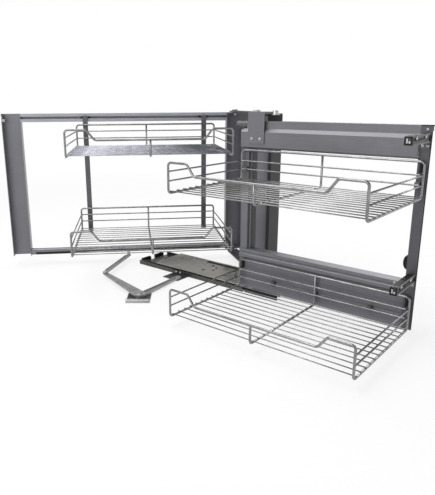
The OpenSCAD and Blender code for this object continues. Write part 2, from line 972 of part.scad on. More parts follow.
module front_bottom_beam() {
    z1 = bottom_beam_top;
    groove = ridge_h / 3;
    outline = [[profile_d, z1], [-ridge, z1], [-ridge, z1 - groove], [-ridge / 2, z1 - groove - ridge / 2],
        [-ridge / 2, z1 - 2 * groove + ridge / 2], [-ridge, z1 - 2 * groove], [-ridge, z1 - ridge_h],
        [0, z1 - ridge_h - ridge], [0, front_base], [profile_d, front_base]];
    color(frame_grey)
        difference() {
            front_place() {
                along_x(0, right_post_x0)
                    sheet(outline, sheet_t);
                along_x(0, end_plate_t)
                    polygon(outline);
            }
            translate([front_axis[0], front_axis[1], front_base - through])
                cylinder(h = sheet_t + 2 * through, d = lower_pin_d + 2 * run_fit);
        }
}

// Plate welded on the bottom flange, bored for the lower pivot.
module front_pivot_plate() {
    z = front_base + sheet_t;
    color(frame_grey)
        difference() {
            front_place()
                translate([end_plate_t, sheet_t, z])
                    cube([2 * (pivot_inset[0] - end_plate_t), profile_d - sheet_t, hinge_plate_t]);
            translate([front_axis[0], front_axis[1], z - through])
                cylinder(h = hinge_plate_t + 2 * through, d = lower_pin_d + 2 * run_fit);
        }
}

// Strap that hangs the front frame from the upper pivot.
module hanger_strap() {
    color(frame_grey)
        difference() {
            front_place()
                along_x(strap_x0, strap_w)
                    sheet([[-proud, strap_low_z], [-proud, strap_z], [strap_back_y, strap_z]], strap_t);
            translate([front_axis[0], front_axis[1], strap_z - through])
                cylinder(h = strap_t + 2 * through, d = pin_d + 2 * run_fit);
        }
}

module strap_screws() {
    color(steel)
        front_place()
            for (x = [strap_screw_inset, strap_w - strap_screw_inset])
                head_y(strap_x0 + x, -proud - strap_t, strap_low_z + strap_screw_inset);
}

// Roller in the notched corner of the top beam, turned to the rear frame.
module guide_roller() {
    color(steel)
        front_place()
            translate([notch_l - roller_l, profile_d / 2, roller_z])
                rotate([0, 90, 0])
                    cylinder(h = roller_l, d = roller_d);
}

// Stop block on the beam, with its bolt.
module stop_block() {
    color(black)
        front_place()
            translate([block_x0, block_inset, front_top])
                cube([block_l, profile_d - 2 * block_inset, block_top - front_top]);
}
module stop_bolt() {
    color(steel)
        front_place()
            translate([block_x0 + block_l / 2, profile_d / 2, block_top]) {
                cylinder(h = washer_h, d = washer_d);
                cylinder(h = cap_h, d = cap_d);
            }
}

// Clips between the frame's face and the back wires of the front baskets.
module basket_clip(x, z) {
    back_y = front_basket_y - side_inset + side_r + seat / 2;
    translate([x - clip_w / 2, back_y, z - clip_h / 2])
        cube([clip_w, -back_y, clip_h]);
}
module front_basket_clips() {
    clip_z = front_base + thick_r + corner_h * lower_wire;
    mid_x = front_basket_x0 + front_basket_l / 2;
    color(black)
        front_place()
            difference() {
                union() {
                    for (x = beam_clip_x)
                        basket_clip(x, clip_z);
                    for (x = [post_clip_inset[0], front_w - post_clip_inset[1]])
                        basket_clip(x, clip_z + upper_front_z);
                }
                translate([mid_x, front_basket_y, clip_z - clip_h])
                    cylinder(h = 2 * clip_h, r = thick_r + seat / 2);
            }
}

// Slides for the door: a rail with a flange on the right post, and a member in it.
module door_slide_rails() {
    x1 = door_x0 + door_slide_w;
    color(zinc)
        front_place()
            for (z = door_z) {
                z1 = z + door_slide_h;
                along_y(0, door_slide_l)
                    sheet([[x1, z + door_lip], [x1, z], [door_x0, z], [door_x0, z1],
                        [x1, z1], [x1, z1 - door_lip]], -door_slide_t);
                translate([door_x0 - door_flange_x, -sheet_t, z - door_flange_h])
                    cube([door_slide_w + door_flange_x, sheet_t, door_flange_h + door_slide_t]);
            }
}

module door_member(z) {
    inner = door_slide_t + play;
    x0 = door_x0 + inner;
    w = door_slide_w - 2 * inner;
    front_place() {
        color(steel)
            difference() {
                translate([x0, -door_slide_l, z + inner])
                    cube([w, door_member_l, door_slide_h - 2 * inner]);
                for (i = [0 : 2])
                    translate([x0 - through, door_hole_y + i * door_hole_step - door_slide_l, z + door_slide_h / 2])
                        rotate([0, 90, 0])
                            cylinder(h = w + 2 * through, d = door_hole_d);
            }
        color(black)
            translate([door_x0, -door_slide_l - play - door_cap_l, z + door_cap_inset])
                cube([door_slide_w, door_cap_l, door_slide_h - 2 * door_cap_inset]);
        color(black)
            translate([x0, -door_slide_l - play - through, z + inner])
                cube([w, play + 2 * through, door_slide_h - 2 * inner]);
    }
}
module lower_door_slide() { door_member(door_z[0]); }
module upper_door_slide() { door_member(door_z[1]); }

module door_slide_screws() {
    color(steel)
        front_place()
            for (x = [0, door_slide_w - door_screw_inset], z = door_z)
                head_y(door_x0 + x, -sheet_t, z - door_flange_h / 2);
}

// Half round rubber strip on the inner edge of the right post.
module door_buffer() {
    color(black)
        front_place()
            translate([right_post_x0, profile_d / 2, buffer_z])
                intersection() {
                    cylinder(h = buffer_l, d = buffer_d);
                    translate([-buffer_d, -buffer_d, 0])
                        cube([buffer_d, 2 * buffer_d, buffer_l]);
                }
}

runner_rail();
runner_middle();
runner_slider();
outer_ball_cage();
inner_ball_cage();
runner_end_stops();
linkage_bracket();
bracket_screws();
brace_bar();
foot_plate();
foot_pivot_pin();
lever_arm();
elbow_pin();
link_arm();
link_stud();
lower_swing_plate();
swing_post();
top_swing_plate();
post_bolts();
front_lower_pivot();
front_upper_pivot();
rear_lower_pivot();
rear_upper_pivot();
rear_near_upright();
rear_far_upright();
rear_top_rail();
rear_bottom_tube();
rear_hinge_plates();
glide_blocks();
hanger_posts();
rear_basket_hooks();
rear_upper_floor();
rear_upper_front_rail();
rear_upper_back();
rear_lower_floor();
rear_lower_front_rail();
rear_lower_back();
front_left_post();
front_right_post();
front_top_beam();
front_bottom_beam();
front_pivot_plate();
hanger_strap();
strap_screws();
guide_roller();
stop_block();
stop_bolt();
front_basket_clips();
front_upper_floor();
front_upper_front_rail();
front_upper_back();
front_lower_floor();
front_lower_front_rail();
front_lower_back();
door_slide_rails();
upper_door_slide();
lower_door_slide();
door_slide_screws();
door_buffer();
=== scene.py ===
# %% [markdown]
# A pull-out unit for a blind corner cabinet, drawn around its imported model.
# The construction comes in finished, in metres, and is never moved. This file
# gives it a studio, real finishes, and finer pieces where the real ones have
# rounded bends, rolled edges and screw recesses.

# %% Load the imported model
import math
import bpy
import numpy as np
from mathutils import Matrix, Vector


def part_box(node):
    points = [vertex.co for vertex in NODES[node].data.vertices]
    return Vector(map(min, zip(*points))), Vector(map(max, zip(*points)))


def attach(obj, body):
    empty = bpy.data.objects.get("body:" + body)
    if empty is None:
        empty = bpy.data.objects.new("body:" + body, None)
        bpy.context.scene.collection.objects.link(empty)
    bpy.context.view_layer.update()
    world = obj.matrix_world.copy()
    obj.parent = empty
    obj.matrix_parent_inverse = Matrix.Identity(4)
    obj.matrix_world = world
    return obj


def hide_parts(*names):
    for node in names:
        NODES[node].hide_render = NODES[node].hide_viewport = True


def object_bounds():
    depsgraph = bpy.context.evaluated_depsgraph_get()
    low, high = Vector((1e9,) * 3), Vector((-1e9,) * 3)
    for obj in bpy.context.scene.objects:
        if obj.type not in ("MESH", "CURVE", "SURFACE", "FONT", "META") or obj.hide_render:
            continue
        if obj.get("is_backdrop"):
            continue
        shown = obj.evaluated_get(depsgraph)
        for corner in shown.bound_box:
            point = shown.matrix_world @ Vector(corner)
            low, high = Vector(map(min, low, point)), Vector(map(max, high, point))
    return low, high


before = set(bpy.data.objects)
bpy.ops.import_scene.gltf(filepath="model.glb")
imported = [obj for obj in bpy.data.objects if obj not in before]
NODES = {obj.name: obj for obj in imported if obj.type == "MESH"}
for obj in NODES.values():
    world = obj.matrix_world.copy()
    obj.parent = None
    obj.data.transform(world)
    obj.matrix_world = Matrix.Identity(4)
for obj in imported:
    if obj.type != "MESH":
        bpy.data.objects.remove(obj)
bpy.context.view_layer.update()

MM = 0.001

# %% [markdown]
# The camera stands where the photographer stood. It could be placed by eye, but
# a frame that is a little off puts every wire beside its place. So its place
# and turn come from matching sixty points of the two frames and the four
# baskets. The three directions below are the camera's right, up and backward.

# %% Camera
CAMERA_RIGHT = (0.75805, 0.65218, -0.00517)
CAMERA_UP = (-0.16111, 0.19492, 0.96750)
CAMERA_BACK = (0.63199, -0.73257, 0.25283)
CAMERA_PLACE = (1.17843, -1.42572, 0.61378)
LENS, SENSOR, SHIFT = 37.775, 36, (0.05968, -0.02112)

turn = np.array([CAMERA_RIGHT, CAMERA_UP, CAMERA_BACK]).T
camera_data = bpy.data.cameras.new("camera")
camera_data.sensor_width, camera_data.lens = SENSOR, LENS
camera_data.shift_x, camera_data.shift_y = SHIFT
camera = bpy.data.objects.new("camera", camera_data)
camera.matrix_world = Matrix.Translation(CAMERA_PLACE) @ Matrix(turn.tolist()).to_4x4()
bpy.context.scene.collection.objects.link(camera)
bpy.context.scene.camera = camera
print("camera height", CAMERA_PLACE[2], "lens", LENS)


# %% [markdown]
# Every finish below is a small network of nodes. Clicking such networks
# together by hand is slow to repeat, so five helpers keep each one readable:
# they add a node and set its sockets, do sums, stretch a range, mix two
# colours, and start an empty material.

# %% Node helpers
def add(tree, kind, sockets=None, **settings):
    """Adds one node, sets its own settings, then its sockets by name or number."""
    node = tree.nodes.new(kind)
    for name, value in settings.items():
        setattr(node, name, value)
    for name, value in (sockets or {}).items():
        if isinstance(value, bpy.types.NodeSocket):
            tree.links.new(value, node.inputs[name])
        else:
            node.inputs[name].default_value = value
    return node


def maths(tree, operation, first, second, clamp=False):
    """One Math node: first and second are sockets or plain numbers."""
    node = add(tree, "ShaderNodeMath", {0: first, 1: second}, operation=operation)
    node.use_clamp = clamp
    return node.outputs[0]


def ramp(tree, value, low, high, to_low=0.0, to_high=1.0):
    """Carries value from the range low..high to the range to_low..to_high."""
    node = add(tree, "ShaderNodeMapRange",
               {"Value": value, "From Min": low, "From Max": high, "To Min": to_low, "To Max": to_high})
    return node.outputs[0]


def blend(tree, mask, first, second):
    """Mixes two colours by a mask. A colour is a socket or an (r, g, b) tuple."""
    first, second = ((*c, 1) if isinstance(c, tuple) else c for c in (first, second))
    return add(tree, "ShaderNodeMix", {0: mask, 6: first, 7: second}, data_type="RGBA").outputs[2]


def new_material(name):
    """A material with an empty node tree."""
    material = bpy.data.materials.new(name)
    material.use_nodes = True
    material.node_tree.nodes.clear()
    return material, material.node_tree


print("node helpers 5")


# %% [markdown]
# The photograph has a pure white ground. A lit floor would turn grey, and one
# that only glows would lose the unit's shadow. So a wide disc is the floor: a
# diffuse surface that keeps a soft shadow, mixed with a white glow that only
# the camera and reflections see. Farther out the glow takes over, and the disc
# fades into the white world round it.

# %% Floor
def new_object(name, mesh):
    """Puts a mesh into the scene as an object at the origin."""
    thing = bpy.data.objects.new(name, mesh)
    bpy.context.scene.collection.objects.link(thing)
    return thing


def white_for_eyes(tree):
    """One where a camera, glossy or transmission ray looks, nought for light."""
    path = add(tree, "ShaderNodeLightPath")
    seen = maths(tree, "MAXIMUM", path.outputs["Is Camera Ray"], path.outputs["Is Glossy Ray"])
    return maths(tree, "MAXIMUM", seen, path.outputs["Is Transmission Ray"])


WHITE, PAPER = (1, 1, 1, 1), (0.86, 0.86, 0.86, 1)
FLOOR_RADIUS, FLOOR_SIDES, FLOOR_LEVEL = 12.0, 96, -0.0006
SHADOW_NEAR, SHADOW_FAR, NEAR_GLOW = 0.9, 3.0, 0.74

angles = np.linspace(0, 2 * math.pi, FLOOR_SIDES, endpoint=False)
rim = np.stack([FLOOR_RADIUS * np.cos(angles), FLOOR_RADIUS * np.sin(angles),
                np.full(FLOOR_SIDES, FLOOR_LEVEL)], 1)
floor_mesh = bpy.data.meshes.new("floor")
floor_mesh.from_pydata(rim.tolist(), [], [list(range(FLOOR_SIDES))])
floor = new_object("floor", floor_mesh)
floor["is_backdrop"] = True

floor_finish, tree = new_material("floor_white")
place = add(tree, "ShaderNodeTexCoord")
reach = add(tree, "ShaderNodeVectorMath", {0: place.outputs["Object"]}, operation="LENGTH").outputs["Value"]
glow_share = maths(tree, "MULTIPLY", white_for_eyes(tree),
                   ramp(tree, reach, SHADOW_NEAR, SHADOW_FAR, NEAR_GLOW, 1.0))
paper = add(tree, "ShaderNodeBsdfDiffuse", {"Color": PAPER})
glow = add(tree, "ShaderNodeEmission", {"Color": WHITE, "Strength": 1.0})
both = add(tree, "ShaderNodeMixShader", {0: glow_share, 1: paper.outputs[0], 2: glow.outputs[0]})
add(tree, "ShaderNodeOutputMaterial", {0: both.outputs[0]})
floor_mesh.materials.append(floor_finish)
print("floor radius", FLOOR_RADIUS)

# %% [markdown]
# The world has three jobs that one colour can't do, so they are told apart by
# the kind of ray that asks. The camera sees plain white. Light for the surfaces
# is a weaker white, or the unit would look flat. Shiny metal sees a white
# horizon under a darker ceiling, which gives wires and plated sheet the dark
# upper line that they have in the photo.

# %% World
WORLD_LIGHT, CEILING_LIGHT, CEILING_FROM, CEILING_TO = 0.42, 0.20, 0.18, 0.62

world = bpy.data.worlds.new("studio")
bpy.context.scene.world = world
world.use_nodes = True
tree = world.node_tree
tree.nodes.clear()
path = add(tree, "ShaderNodeLightPath")
direction = add(tree, "ShaderNodeTexCoord")
height = add(tree, "ShaderNodeSeparateXYZ", {0: direction.outputs["Generated"]}).outputs["Z"]
ceiling = ramp(tree, height, CEILING_FROM, CEILING_TO, 1.0, CEILING_LIGHT)
lit = add(tree, "ShaderNodeBackground", {"Color": WHITE, "Strength": WORLD_LIGHT})
mirror_side = add(tree, "ShaderNodeBackground", {"Color": WHITE, "Strength": ceiling})
white = add(tree, "ShaderNodeBackground", {"Color": WHITE, "Strength": 1.0})
glossy = maths(tree, "MAXIMUM", path.outputs["Is Glossy Ray"], path.outputs["Is Transmission Ray"])
soft = add(tree, "ShaderNodeMixShader", {0: glossy, 1: lit.outputs[0], 2: mirror_side.outputs[0]})
final = add(tree, "ShaderNodeMixShader",
            {0: path.outputs["Is Camera Ray"], 1: soft.outputs[0], 2: white.outputs[0]})
add(tree, "ShaderNodeOutputWorld", {0: final.outputs[0]})
bpy.context.scene.view_settings.view_transform = "Standard"
print("world light", WORLD_LIGHT, "ceiling", CEILING_LIGHT)

# %% [markdown]
# Three soft boxes light the unit, as in a product studio. One lamp would leave
# hard shadows of every wire. A large one overhead makes the upper faces the
# lightest, a weaker one in front leaves the faces turned to the right in shade,
# and a long one behind draws a bright line on wires and folded edges.

# %% Lamps
def soft_box(name, place, target, size, power):
    """An area lamp of the given size at place, turned to face target."""
    lamp = bpy.data.lights.new(name, "AREA")
    lamp.shape = "RECTANGLE"
    lamp.size, lamp.size_y = size
    lamp.energy = power
    holder = bpy.data.objects.new(name, lamp)
    back = np.array(place, float) - np.array(target, float)
    back /= np.linalg.norm(back)
    side = np.cross((0, 0, 1), back)
    side /= np.linalg.norm(side)
    turn = np.stack([side, np.cross(back, side), back], 1)
    holder.matrix_world = Matrix.Translation(place) @ Matrix(turn.tolist()).to_4x4()
    bpy.context.scene.collection.objects.link(holder)


MIDDLE = (0.15, 0.0, 0.28)
soft_box("overhead", (-0.5, -0.7, 2.7), MIDDLE, (2.4, 1.8), 58)
soft_box("front", (0.2, -3.0, 1.5), MIDDLE, (2.2, 1.2), 26)
soft_box("behind", (0.4, 2.6, 1.9), MIDDLE, (2.6, 0.8), 34)
print("lamps", [lamp.name for lamp in bpy.data.lights])


# %% [markdown]
# Shared effects. Edge wear, handling marks, metal flakes and rolling lines are
# on nearly every surface of the unit. They could be copied into each material,
# but then each copy would drift. So each effect is a node group with named
# inputs, built once and placed in every finish with its own values.

# %% Group helper
def new_group(name, inputs, outputs):
    """An empty shader group: inputs are (name, kind, value), outputs (name, kind)."""
    group = bpy.data.node_groups.new(name, "ShaderNodeTree")
    for title, kind, value in inputs:
        socket = group.interface.new_socket(title, in_out="INPUT", socket_type=kind)
        if value is not None:
            socket.default_value = value
    for title, kind in outputs:
        group.interface.new_socket(title, in_out="OUTPUT", socket_type=kind)
    return group, group.nodes.new("NodeGroupInput").outputs, group.nodes.new("NodeGroupOutput").inputs


NUMBER, VECTOR = "NodeSocketFloat", "NodeSocketVector"
print("sockets", NUMBER, VECTOR)

# %% [markdown]
# Folded sheet loses its paint first along the folds. This could be painted on,
# part by part. The Bevel node finds the folds by itself: it gives the normal
# that a rounded edge would have, and where that leaves the face's own normal
# there is an edge. Noise breaks the line into chips. The rounded normal also
# comes out, so that edges catch the light as real ones do.

# %% Worn edges
worn_edges, given, result = new_group(
    "worn_edges", [("Radius", NUMBER, 0.001), ("Scale", NUMBER, 300.0), ("Strength", NUMBER, 1.0)],
    [("Mask", NUMBER), ("Normal", VECTOR)])
rounded = add(worn_edges, "ShaderNodeBevel", {"Radius": given["Radius"]}, samples=6)
face = add(worn_edges, "ShaderNodeNewGeometry")
agree = add(worn_edges, "ShaderNodeVectorMath", {0: rounded.outputs[0], 1: face.outputs["Normal"]},
            operation="DOT_PRODUCT").outputs["Value"]
edge = ramp(worn_edges, agree, 0.995, 0.82)
where = add(worn_edges, "ShaderNodeTexCoord").outputs["Object"]
chips = add(worn_edges, "ShaderNodeTexNoise", {"Vector": where, "Scale": given["Scale"], "Detail": 4.0})
broken = ramp(worn_edges, chips.outputs["Fac"], 0.42, 0.62)
mask = maths(worn_edges, "MULTIPLY", edge, broken)
worn_edges.links.new(maths(worn_edges, "MULTIPLY", mask, given["Strength"], True), result["Mask"])
worn_edges.links.new(rounded.outputs[0], result["Normal"])
print("group", worn_edges.name)

# %% [markdown]
# Hands and cloths leave broad cloudy patches with finer smears in them. A
# painted image would need a map on every part. Two noises on the part's own
# coordinates need none, the second nine times finer than the first.

# %% Handling marks
FINER, NOISE_LOW, NOISE_HIGH = 9.0, 0.3, 0.7
handling, given, result = new_group("handling", [("Scale", NUMBER, 6.0)], [("Mask", NUMBER)])
where = add(handling, "ShaderNodeTexCoord").outputs["Object"]
cloud = add(handling, "ShaderNodeTexNoise", {"Vector": where, "Scale": given["Scale"], "Detail": 5.0,
                                             "Roughness": 0.62, "Distortion": 0.6})
fine_scale = maths(handling, "MULTIPLY", given["Scale"], FINER)
smear = add(handling, "ShaderNodeTexNoise", {"Vector": where, "Scale": fine_scale, "Detail": 3.0})
cloudy = ramp(handling, cloud.outputs["Fac"], NOISE_LOW, NOISE_HIGH)
smeared = ramp(handling, smear.outputs["Fac"], NOISE_LOW, NOISE_HIGH, 0.7, 1.0)
handling.links.new(maths(handling, "MULTIPLY", cloudy, smeared, True), result["Mask"])
print("group", handling.name)

# %% [markdown]
# Metallic paint holds flakes, and a zinc coat is made of crystals. Noise would
# blur one into the next. A cell texture keeps them apart, each with its own
# lightness and a slight crown, and only the size of the cells tells paint from
# zinc.

# %% Flakes
flakes, given, result = new_group("flakes", [("Scale", NUMBER, 900.0)], [("Value", NUMBER), ("Height", NUMBER)])
where = add(flakes, "ShaderNodeTexCoord").outputs["Object"]
cells = add(flakes, "ShaderNodeTexVoronoi", {"Vector": where, "Scale": given["Scale"], "Randomness": 1.0})
lightness = add(flakes, "ShaderNodeSeparateColor", {0: cells.outputs["Color"]}).outputs[0]
flakes.links.new(lightness, result["Value"])
flakes.links.new(cells.outputs["Distance"], result["Height"])
print("group", flakes.name)

# %% [markdown]
# Steel is rolled or drawn, which leaves fine lines along it and a few deeper
# scratches. A wave texture would repeat them too evenly. Noise does better,
# once its coordinates are pressed together across the lines and left long in
# their direction.

# %% Rolling lines
rolling, given, result = new_group(
    "rolling", [("Vector", VECTOR, None), ("Stretch", VECTOR, (4.0, 400.0, 400.0))],
    [("Value", NUMBER), ("Scratch", NUMBER)])
drawn = add(rolling, "ShaderNodeVectorMath", {0: given["Vector"], 1: given["Stretch"]}, operation="MULTIPLY")
lines = add(rolling, "ShaderNodeTexNoise", {"Vector": drawn.outputs[0], "Scale": 1.0, "Detail": 4.0,
                                            "Roughness": 0.7})
rolling.links.new(lines.outputs["Fac"], result["Value"])
rolling.links.new(ramp(rolling, lines.outputs["Fac"], 0.64, 0.74), result["Scratch"])
print("effect groups", [g.name for g in bpy.data.node_groups])


# %% [markdown]
# One recipe serves every sheet metal finish. Two tones are mixed by handling
# marks and flakes, edges wear to a lighter tone, scratches follow the sheet's
# rolling direction, and all of them also change roughness and height. The
# surfaces differ only in the numbers that they give to it.

# %% Sheet recipe
def use(tree, group, sockets=None):
    """Places one of the effect groups in a material."""
    return add(tree, "ShaderNodeGroup", sockets, node_tree=group).outputs


def grey(level, tint=(1.0, 1.0, 1.0)):
    """A grey of the given level, multiplied by a faint tint."""
    return tuple(level * t for t in tint)


EDGE_WEAR, SCRATCH_ROUGH, FLAKE_ROUGH, COAT_ROUGH = 0.8, 0.08, 0.05, 0.25


def sheet_finish(name, tones, tint, metallic, rough, stretch, flake_scale=1100.0, flake_share=0.35,
                 edge_radius=0.0012, cloud_scale=5.0, relief=0.00004, coat=0.0):
    """Painted or plated sheet: tone = mix(dark, light) by clouds and flakes, worn edges over it."""
    dark, light, edge_tone = (grey(level, tint) for level in tones)
    material, tree = new_material(name)
    where = add(tree, "ShaderNodeTexCoord").outputs["Object"]
    cloud = use(tree, handling, {"Scale": cloud_scale})["Mask"]
    spark = use(tree, flakes, {"Scale": flake_scale})
    drawn = use(tree, rolling, {"Vector": where, "Stretch": stretch})
    worn = use(tree, worn_edges, {"Radius": edge_radius, "Strength": EDGE_WEAR})
    glitter = maths(tree, "MULTIPLY", spark["Value"], flake_share)
    tone = maths(tree, "ADD", maths(tree, "MULTIPLY", cloud, 1 - flake_share), glitter)
    tone = maths(tree, "ADD", tone, ramp(tree, drawn["Value"], NOISE_LOW, NOISE_HIGH, -0.12, 0.12), True)
    colour = blend(tree, tone, dark, light)
    colour = blend(tree, worn["Mask"], colour, edge_tone)
    gloss = ramp(tree, cloud, 0.0, 1.0, rough[0], rough[1])
    gloss = maths(tree, "ADD", gloss, maths(tree, "MULTIPLY", drawn["Scratch"], SCRATCH_ROUGH))
    gloss = maths(tree, "ADD", gloss, maths(tree, "MULTIPLY", spark["Value"], FLAKE_ROUGH), True)
    height = maths(tree, "ADD", spark["Height"], maths(tree, "MULTIPLY", drawn["Value"], 0.6))
    bump = add(tree, "ShaderNodeBump", {"Strength": 0.5, "Distance": relief, "Height": height,
                                        "Normal": worn["Normal"]})
    skin = add(tree, "ShaderNodeBsdfPrincipled", {
        "Base Color": colour, "Metallic": metallic, "Roughness": gloss,
        "Normal": bump.outputs[0], "Coat Weight": coat, "Coat Roughness": COAT_ROUGH})
    add(tree, "ShaderNodeOutputMaterial", {0: skin.outputs[0]})
    return material


print("sheet recipe ready")

# %% [markdown]
# The unit wears three kinds of coat. Frames and uprights have a cool grey
# paint with fine flakes under a thin clear coat. The swing post is painted
# nearly black. Runner, linkage and slides are zinc plated, with crystals large
# enough to see. Each line gives dark, light and worn tone, tint, how metallic
# it is, its roughness, and the direction of its rolling lines.

# %% Paints and platings
COOL, PLAIN, WARM = (0.965, 0.975, 1.08), (1.0, 1.0, 1.0), (1.02, 1.0, 0.93)
ALONG_Z, ALONG_X = (160.0, 160.0, 3.0), (3.0, 160.0, 160.0)
PRESSED, TURNED = (40.0, 40.0, 60.0), (90.0, 90.0, 90.0)
COARSE_ZINC = {"flake_scale": 95.0, "flake_share": 0.5, "cloud_scale": 14.0}
MIDDLE_ZINC = {"flake_scale": 120.0, "flake_share": 0.5, "cloud_scale": 18.0}
FINE_ZINC = {"flake_scale": 140.0, "flake_share": 0.5, "cloud_scale": 20.0}

FRAME_TONES = (0.125, 0.185, 0.36)
frame_paint = sheet_finish("frame_paint", FRAME_TONES, COOL, 0.4, (0.36, 0.48), ALONG_Z, coat=0.35)
beam_paint = sheet_finish("beam_paint", FRAME_TONES, COOL, 0.4, (0.34, 0.46), ALONG_X, coat=0.35)
rail_paint = sheet_finish("rail_paint", (0.3, 0.42, 0.56), COOL, 0.5, (0.3, 0.42), ALONG_X, coat=0.5)
# Painted light: the far upright wears the frame's paint in lighter tones, for the light that falls on it.
far_upright_lit_paint = sheet_finish("far_upright_lit_paint", (0.15, 0.22, 0.4), COOL, 0.4, (0.36, 0.48), ALONG_Z, coat=0.35)
# Painted light: the bottom tube wears the frame's paint in lighter tones, for the light on its upper side.
tube_lit_paint = sheet_finish("tube_lit_paint", (0.17, 0.25, 0.42), COOL, 0.5, (0.3, 0.42), ALONG_X, coat=0.4)
post_paint = sheet_finish("post_paint", (0.022, 0.044, 0.18), COOL, 0.25, (0.42, 0.54), ALONG_Z)
# Painted shade: the right post wears the frame's paint in darker tones, for the shade it stands in.
door_post_shaded_paint = sheet_finish("door_post_shaded_paint", (0.07, 0.11, 0.3), COOL, 0.3, (0.38, 0.5), ALONG_Z, coat=0.15)
# Painted light: the swing post's face strip is lighter than the post, for the lit part of its face.
post_strip_lit_paint = sheet_finish("post_strip_lit_paint", (0.15, 0.21, 0.4), COOL, 0.5, (0.3, 0.42), ALONG_Z,
                                coat=0.25)
zinc_plate = sheet_finish("zinc_plate", (0.25, 0.42, 0.56), WARM, 0.85, (0.28, 0.42), ALONG_X, **COARSE_ZINC)
dark_zinc = sheet_finish("dark_zinc", (0.055, 0.12, 0.32), WARM, 0.8, (0.3, 0.42), ALONG_Z, **FINE_ZINC)
slide_zinc = sheet_finish("slide_zinc", (0.035, 0.085, 0.3), PLAIN, 0.8, (0.3, 0.42), ALONG_Z, **FINE_ZINC)
foot_zinc = sheet_finish("foot_zinc", (0.07, 0.18, 0.5), PLAIN, 0.8, (0.32, 0.48), PRESSED, **MIDDLE_ZINC)
hanger_paint = sheet_finish("hanger_paint", (0.085, 0.135, 0.25), COOL, 0.25, (0.42, 0.54), ALONG_Z)
linkage_zinc = sheet_finish("linkage_zinc", (0.28, 0.48, 0.62), PLAIN, 0.8, (0.32, 0.48), PRESSED,
                            **MIDDLE_ZINC)
bright_steel = sheet_finish("bright_steel", (0.42, 0.6, 0.75), PLAIN, 1.0, (0.22, 0.34), TURNED,
                            flake_scale=2500.0, flake_share=0.2, edge_radius=0.0005, cloud_scale=60.0,
                            relief=0.00002)
print("sheet finishes from", frame_paint.name, "to", bright_steel.name)


# %% [markdown]
# The baskets are drawn wire with a bright nickel or chrome plate. Fine lines
# run along the wire, so this finish reads the wire's own UV map: U is the
# distance along the wire, V the way round it. The floor of the rear upper
# basket is seen almost edge on, so its wires hide the white ground from each
# other. They take the same plate in lighter tones, or that floor goes dark.

# %% Wire finish
def wire_finish(name, dark, light, rough):
    """Plated wire: drawing lines along U, cloudy dull patches and tiny pits."""
    material, tree = new_material(name)
    along = add(tree, "ShaderNodeUVMap", uv_map="wire").outputs[0]
    drawn = use(tree, rolling, {"Vector": along, "Stretch": (30.0, 14.0, 1.0)})
    cloud = use(tree, handling, {"Scale": 22.0})["Mask"]
    pits = use(tree, flakes, {"Scale": 1600.0})
    tone = maths(tree, "ADD", maths(tree, "MULTIPLY", cloud, 0.6),
                 ramp(tree, drawn["Value"], NOISE_LOW, NOISE_HIGH, -0.1, 0.5), True)
    colour = blend(tree, tone, dark, light)
    gloss = ramp(tree, tone, 0.0, 1.0, rough[1], rough[0])
    height = maths(tree, "ADD", maths(tree, "MULTIPLY", pits["Height"], 0.3), drawn["Value"])
    bump = add(tree, "ShaderNodeBump", {"Strength": 0.4, "Distance": 0.00003, "Height": height})
    skin = add(tree, "ShaderNodeBsdfPrincipled", {
        "Base Color": colour, "Metallic": 1.0, "Roughness": gloss, "Normal": bump.outputs[0]})
    add(tree, "ShaderNodeOutputMaterial", {0: skin.outputs[0]})
    return material


BRIGHT_ROUGH, DULL_ROUGH = (0.14, 0.3), (0.18, 0.34)
chrome_wire = wire_finish("chrome_wire", grey(0.14), grey(0.4), BRIGHT_ROUGH)
bright_wire = wire_finish("bright_wire", grey(0.22, COOL), grey(0.58, COOL), DULL_ROUGH)
print("wire finishes", chrome_wire.name, bright_wire.name)


# %% [markdown]
# Moulded plastic and rubber: end stops, glide blocks, caps, clips and the
# buffer. All are nearly black, and one plain black would hide their form. So a
# fine mould grain and rubbed corners carry it, in one finish for all of them.

# %% Plastic finish
MOULD_GRAIN, RUBBED = 1800.0, 0.06


def moulded_finish(name, dark, light, rough):
    """Moulded black: fine cellular grain, dusty patches, corners rubbed lighter."""
    material, tree = new_material(name)
    cloud = use(tree, handling, {"Scale": 30.0})["Mask"]
    cell = use(tree, flakes, {"Scale": MOULD_GRAIN})
    worn = use(tree, worn_edges, {"Radius": 0.0005, "Strength": 0.35})
    colour = blend(tree, cloud, dark, light)
    colour = blend(tree, worn["Mask"], colour, grey(RUBBED))
    gloss = ramp(tree, cloud, 0.0, 1.0, rough[0], rough[1])
    gloss = maths(tree, "ADD", gloss, maths(tree, "MULTIPLY", cell["Value"], 0.08), True)
    bump = add(tree, "ShaderNodeBump", {"Strength": 0.4, "Distance": 0.00008, "Height": cell["Height"],
                                        "Normal": worn["Normal"]})
    skin = add(tree, "ShaderNodeBsdfPrincipled", {
        "Base Color": colour, "Roughness": gloss, "Specular IOR Level": 0.2, "Normal": bump.outputs[0]})
    add(tree, "ShaderNodeOutputMaterial", {0: skin.outputs[0]})
    return material


black_plastic = moulded_finish("black_plastic", grey(0.006), grey(0.016), (0.38, 0.55))
print("plastic finish", black_plastic.name)


# %% [markdown]
# The carried-over parts take these finishes by the work they do. Most of them
# keep their shape, so only the material in their slots changes. A list of
# names under each finish keeps that choice in one place.

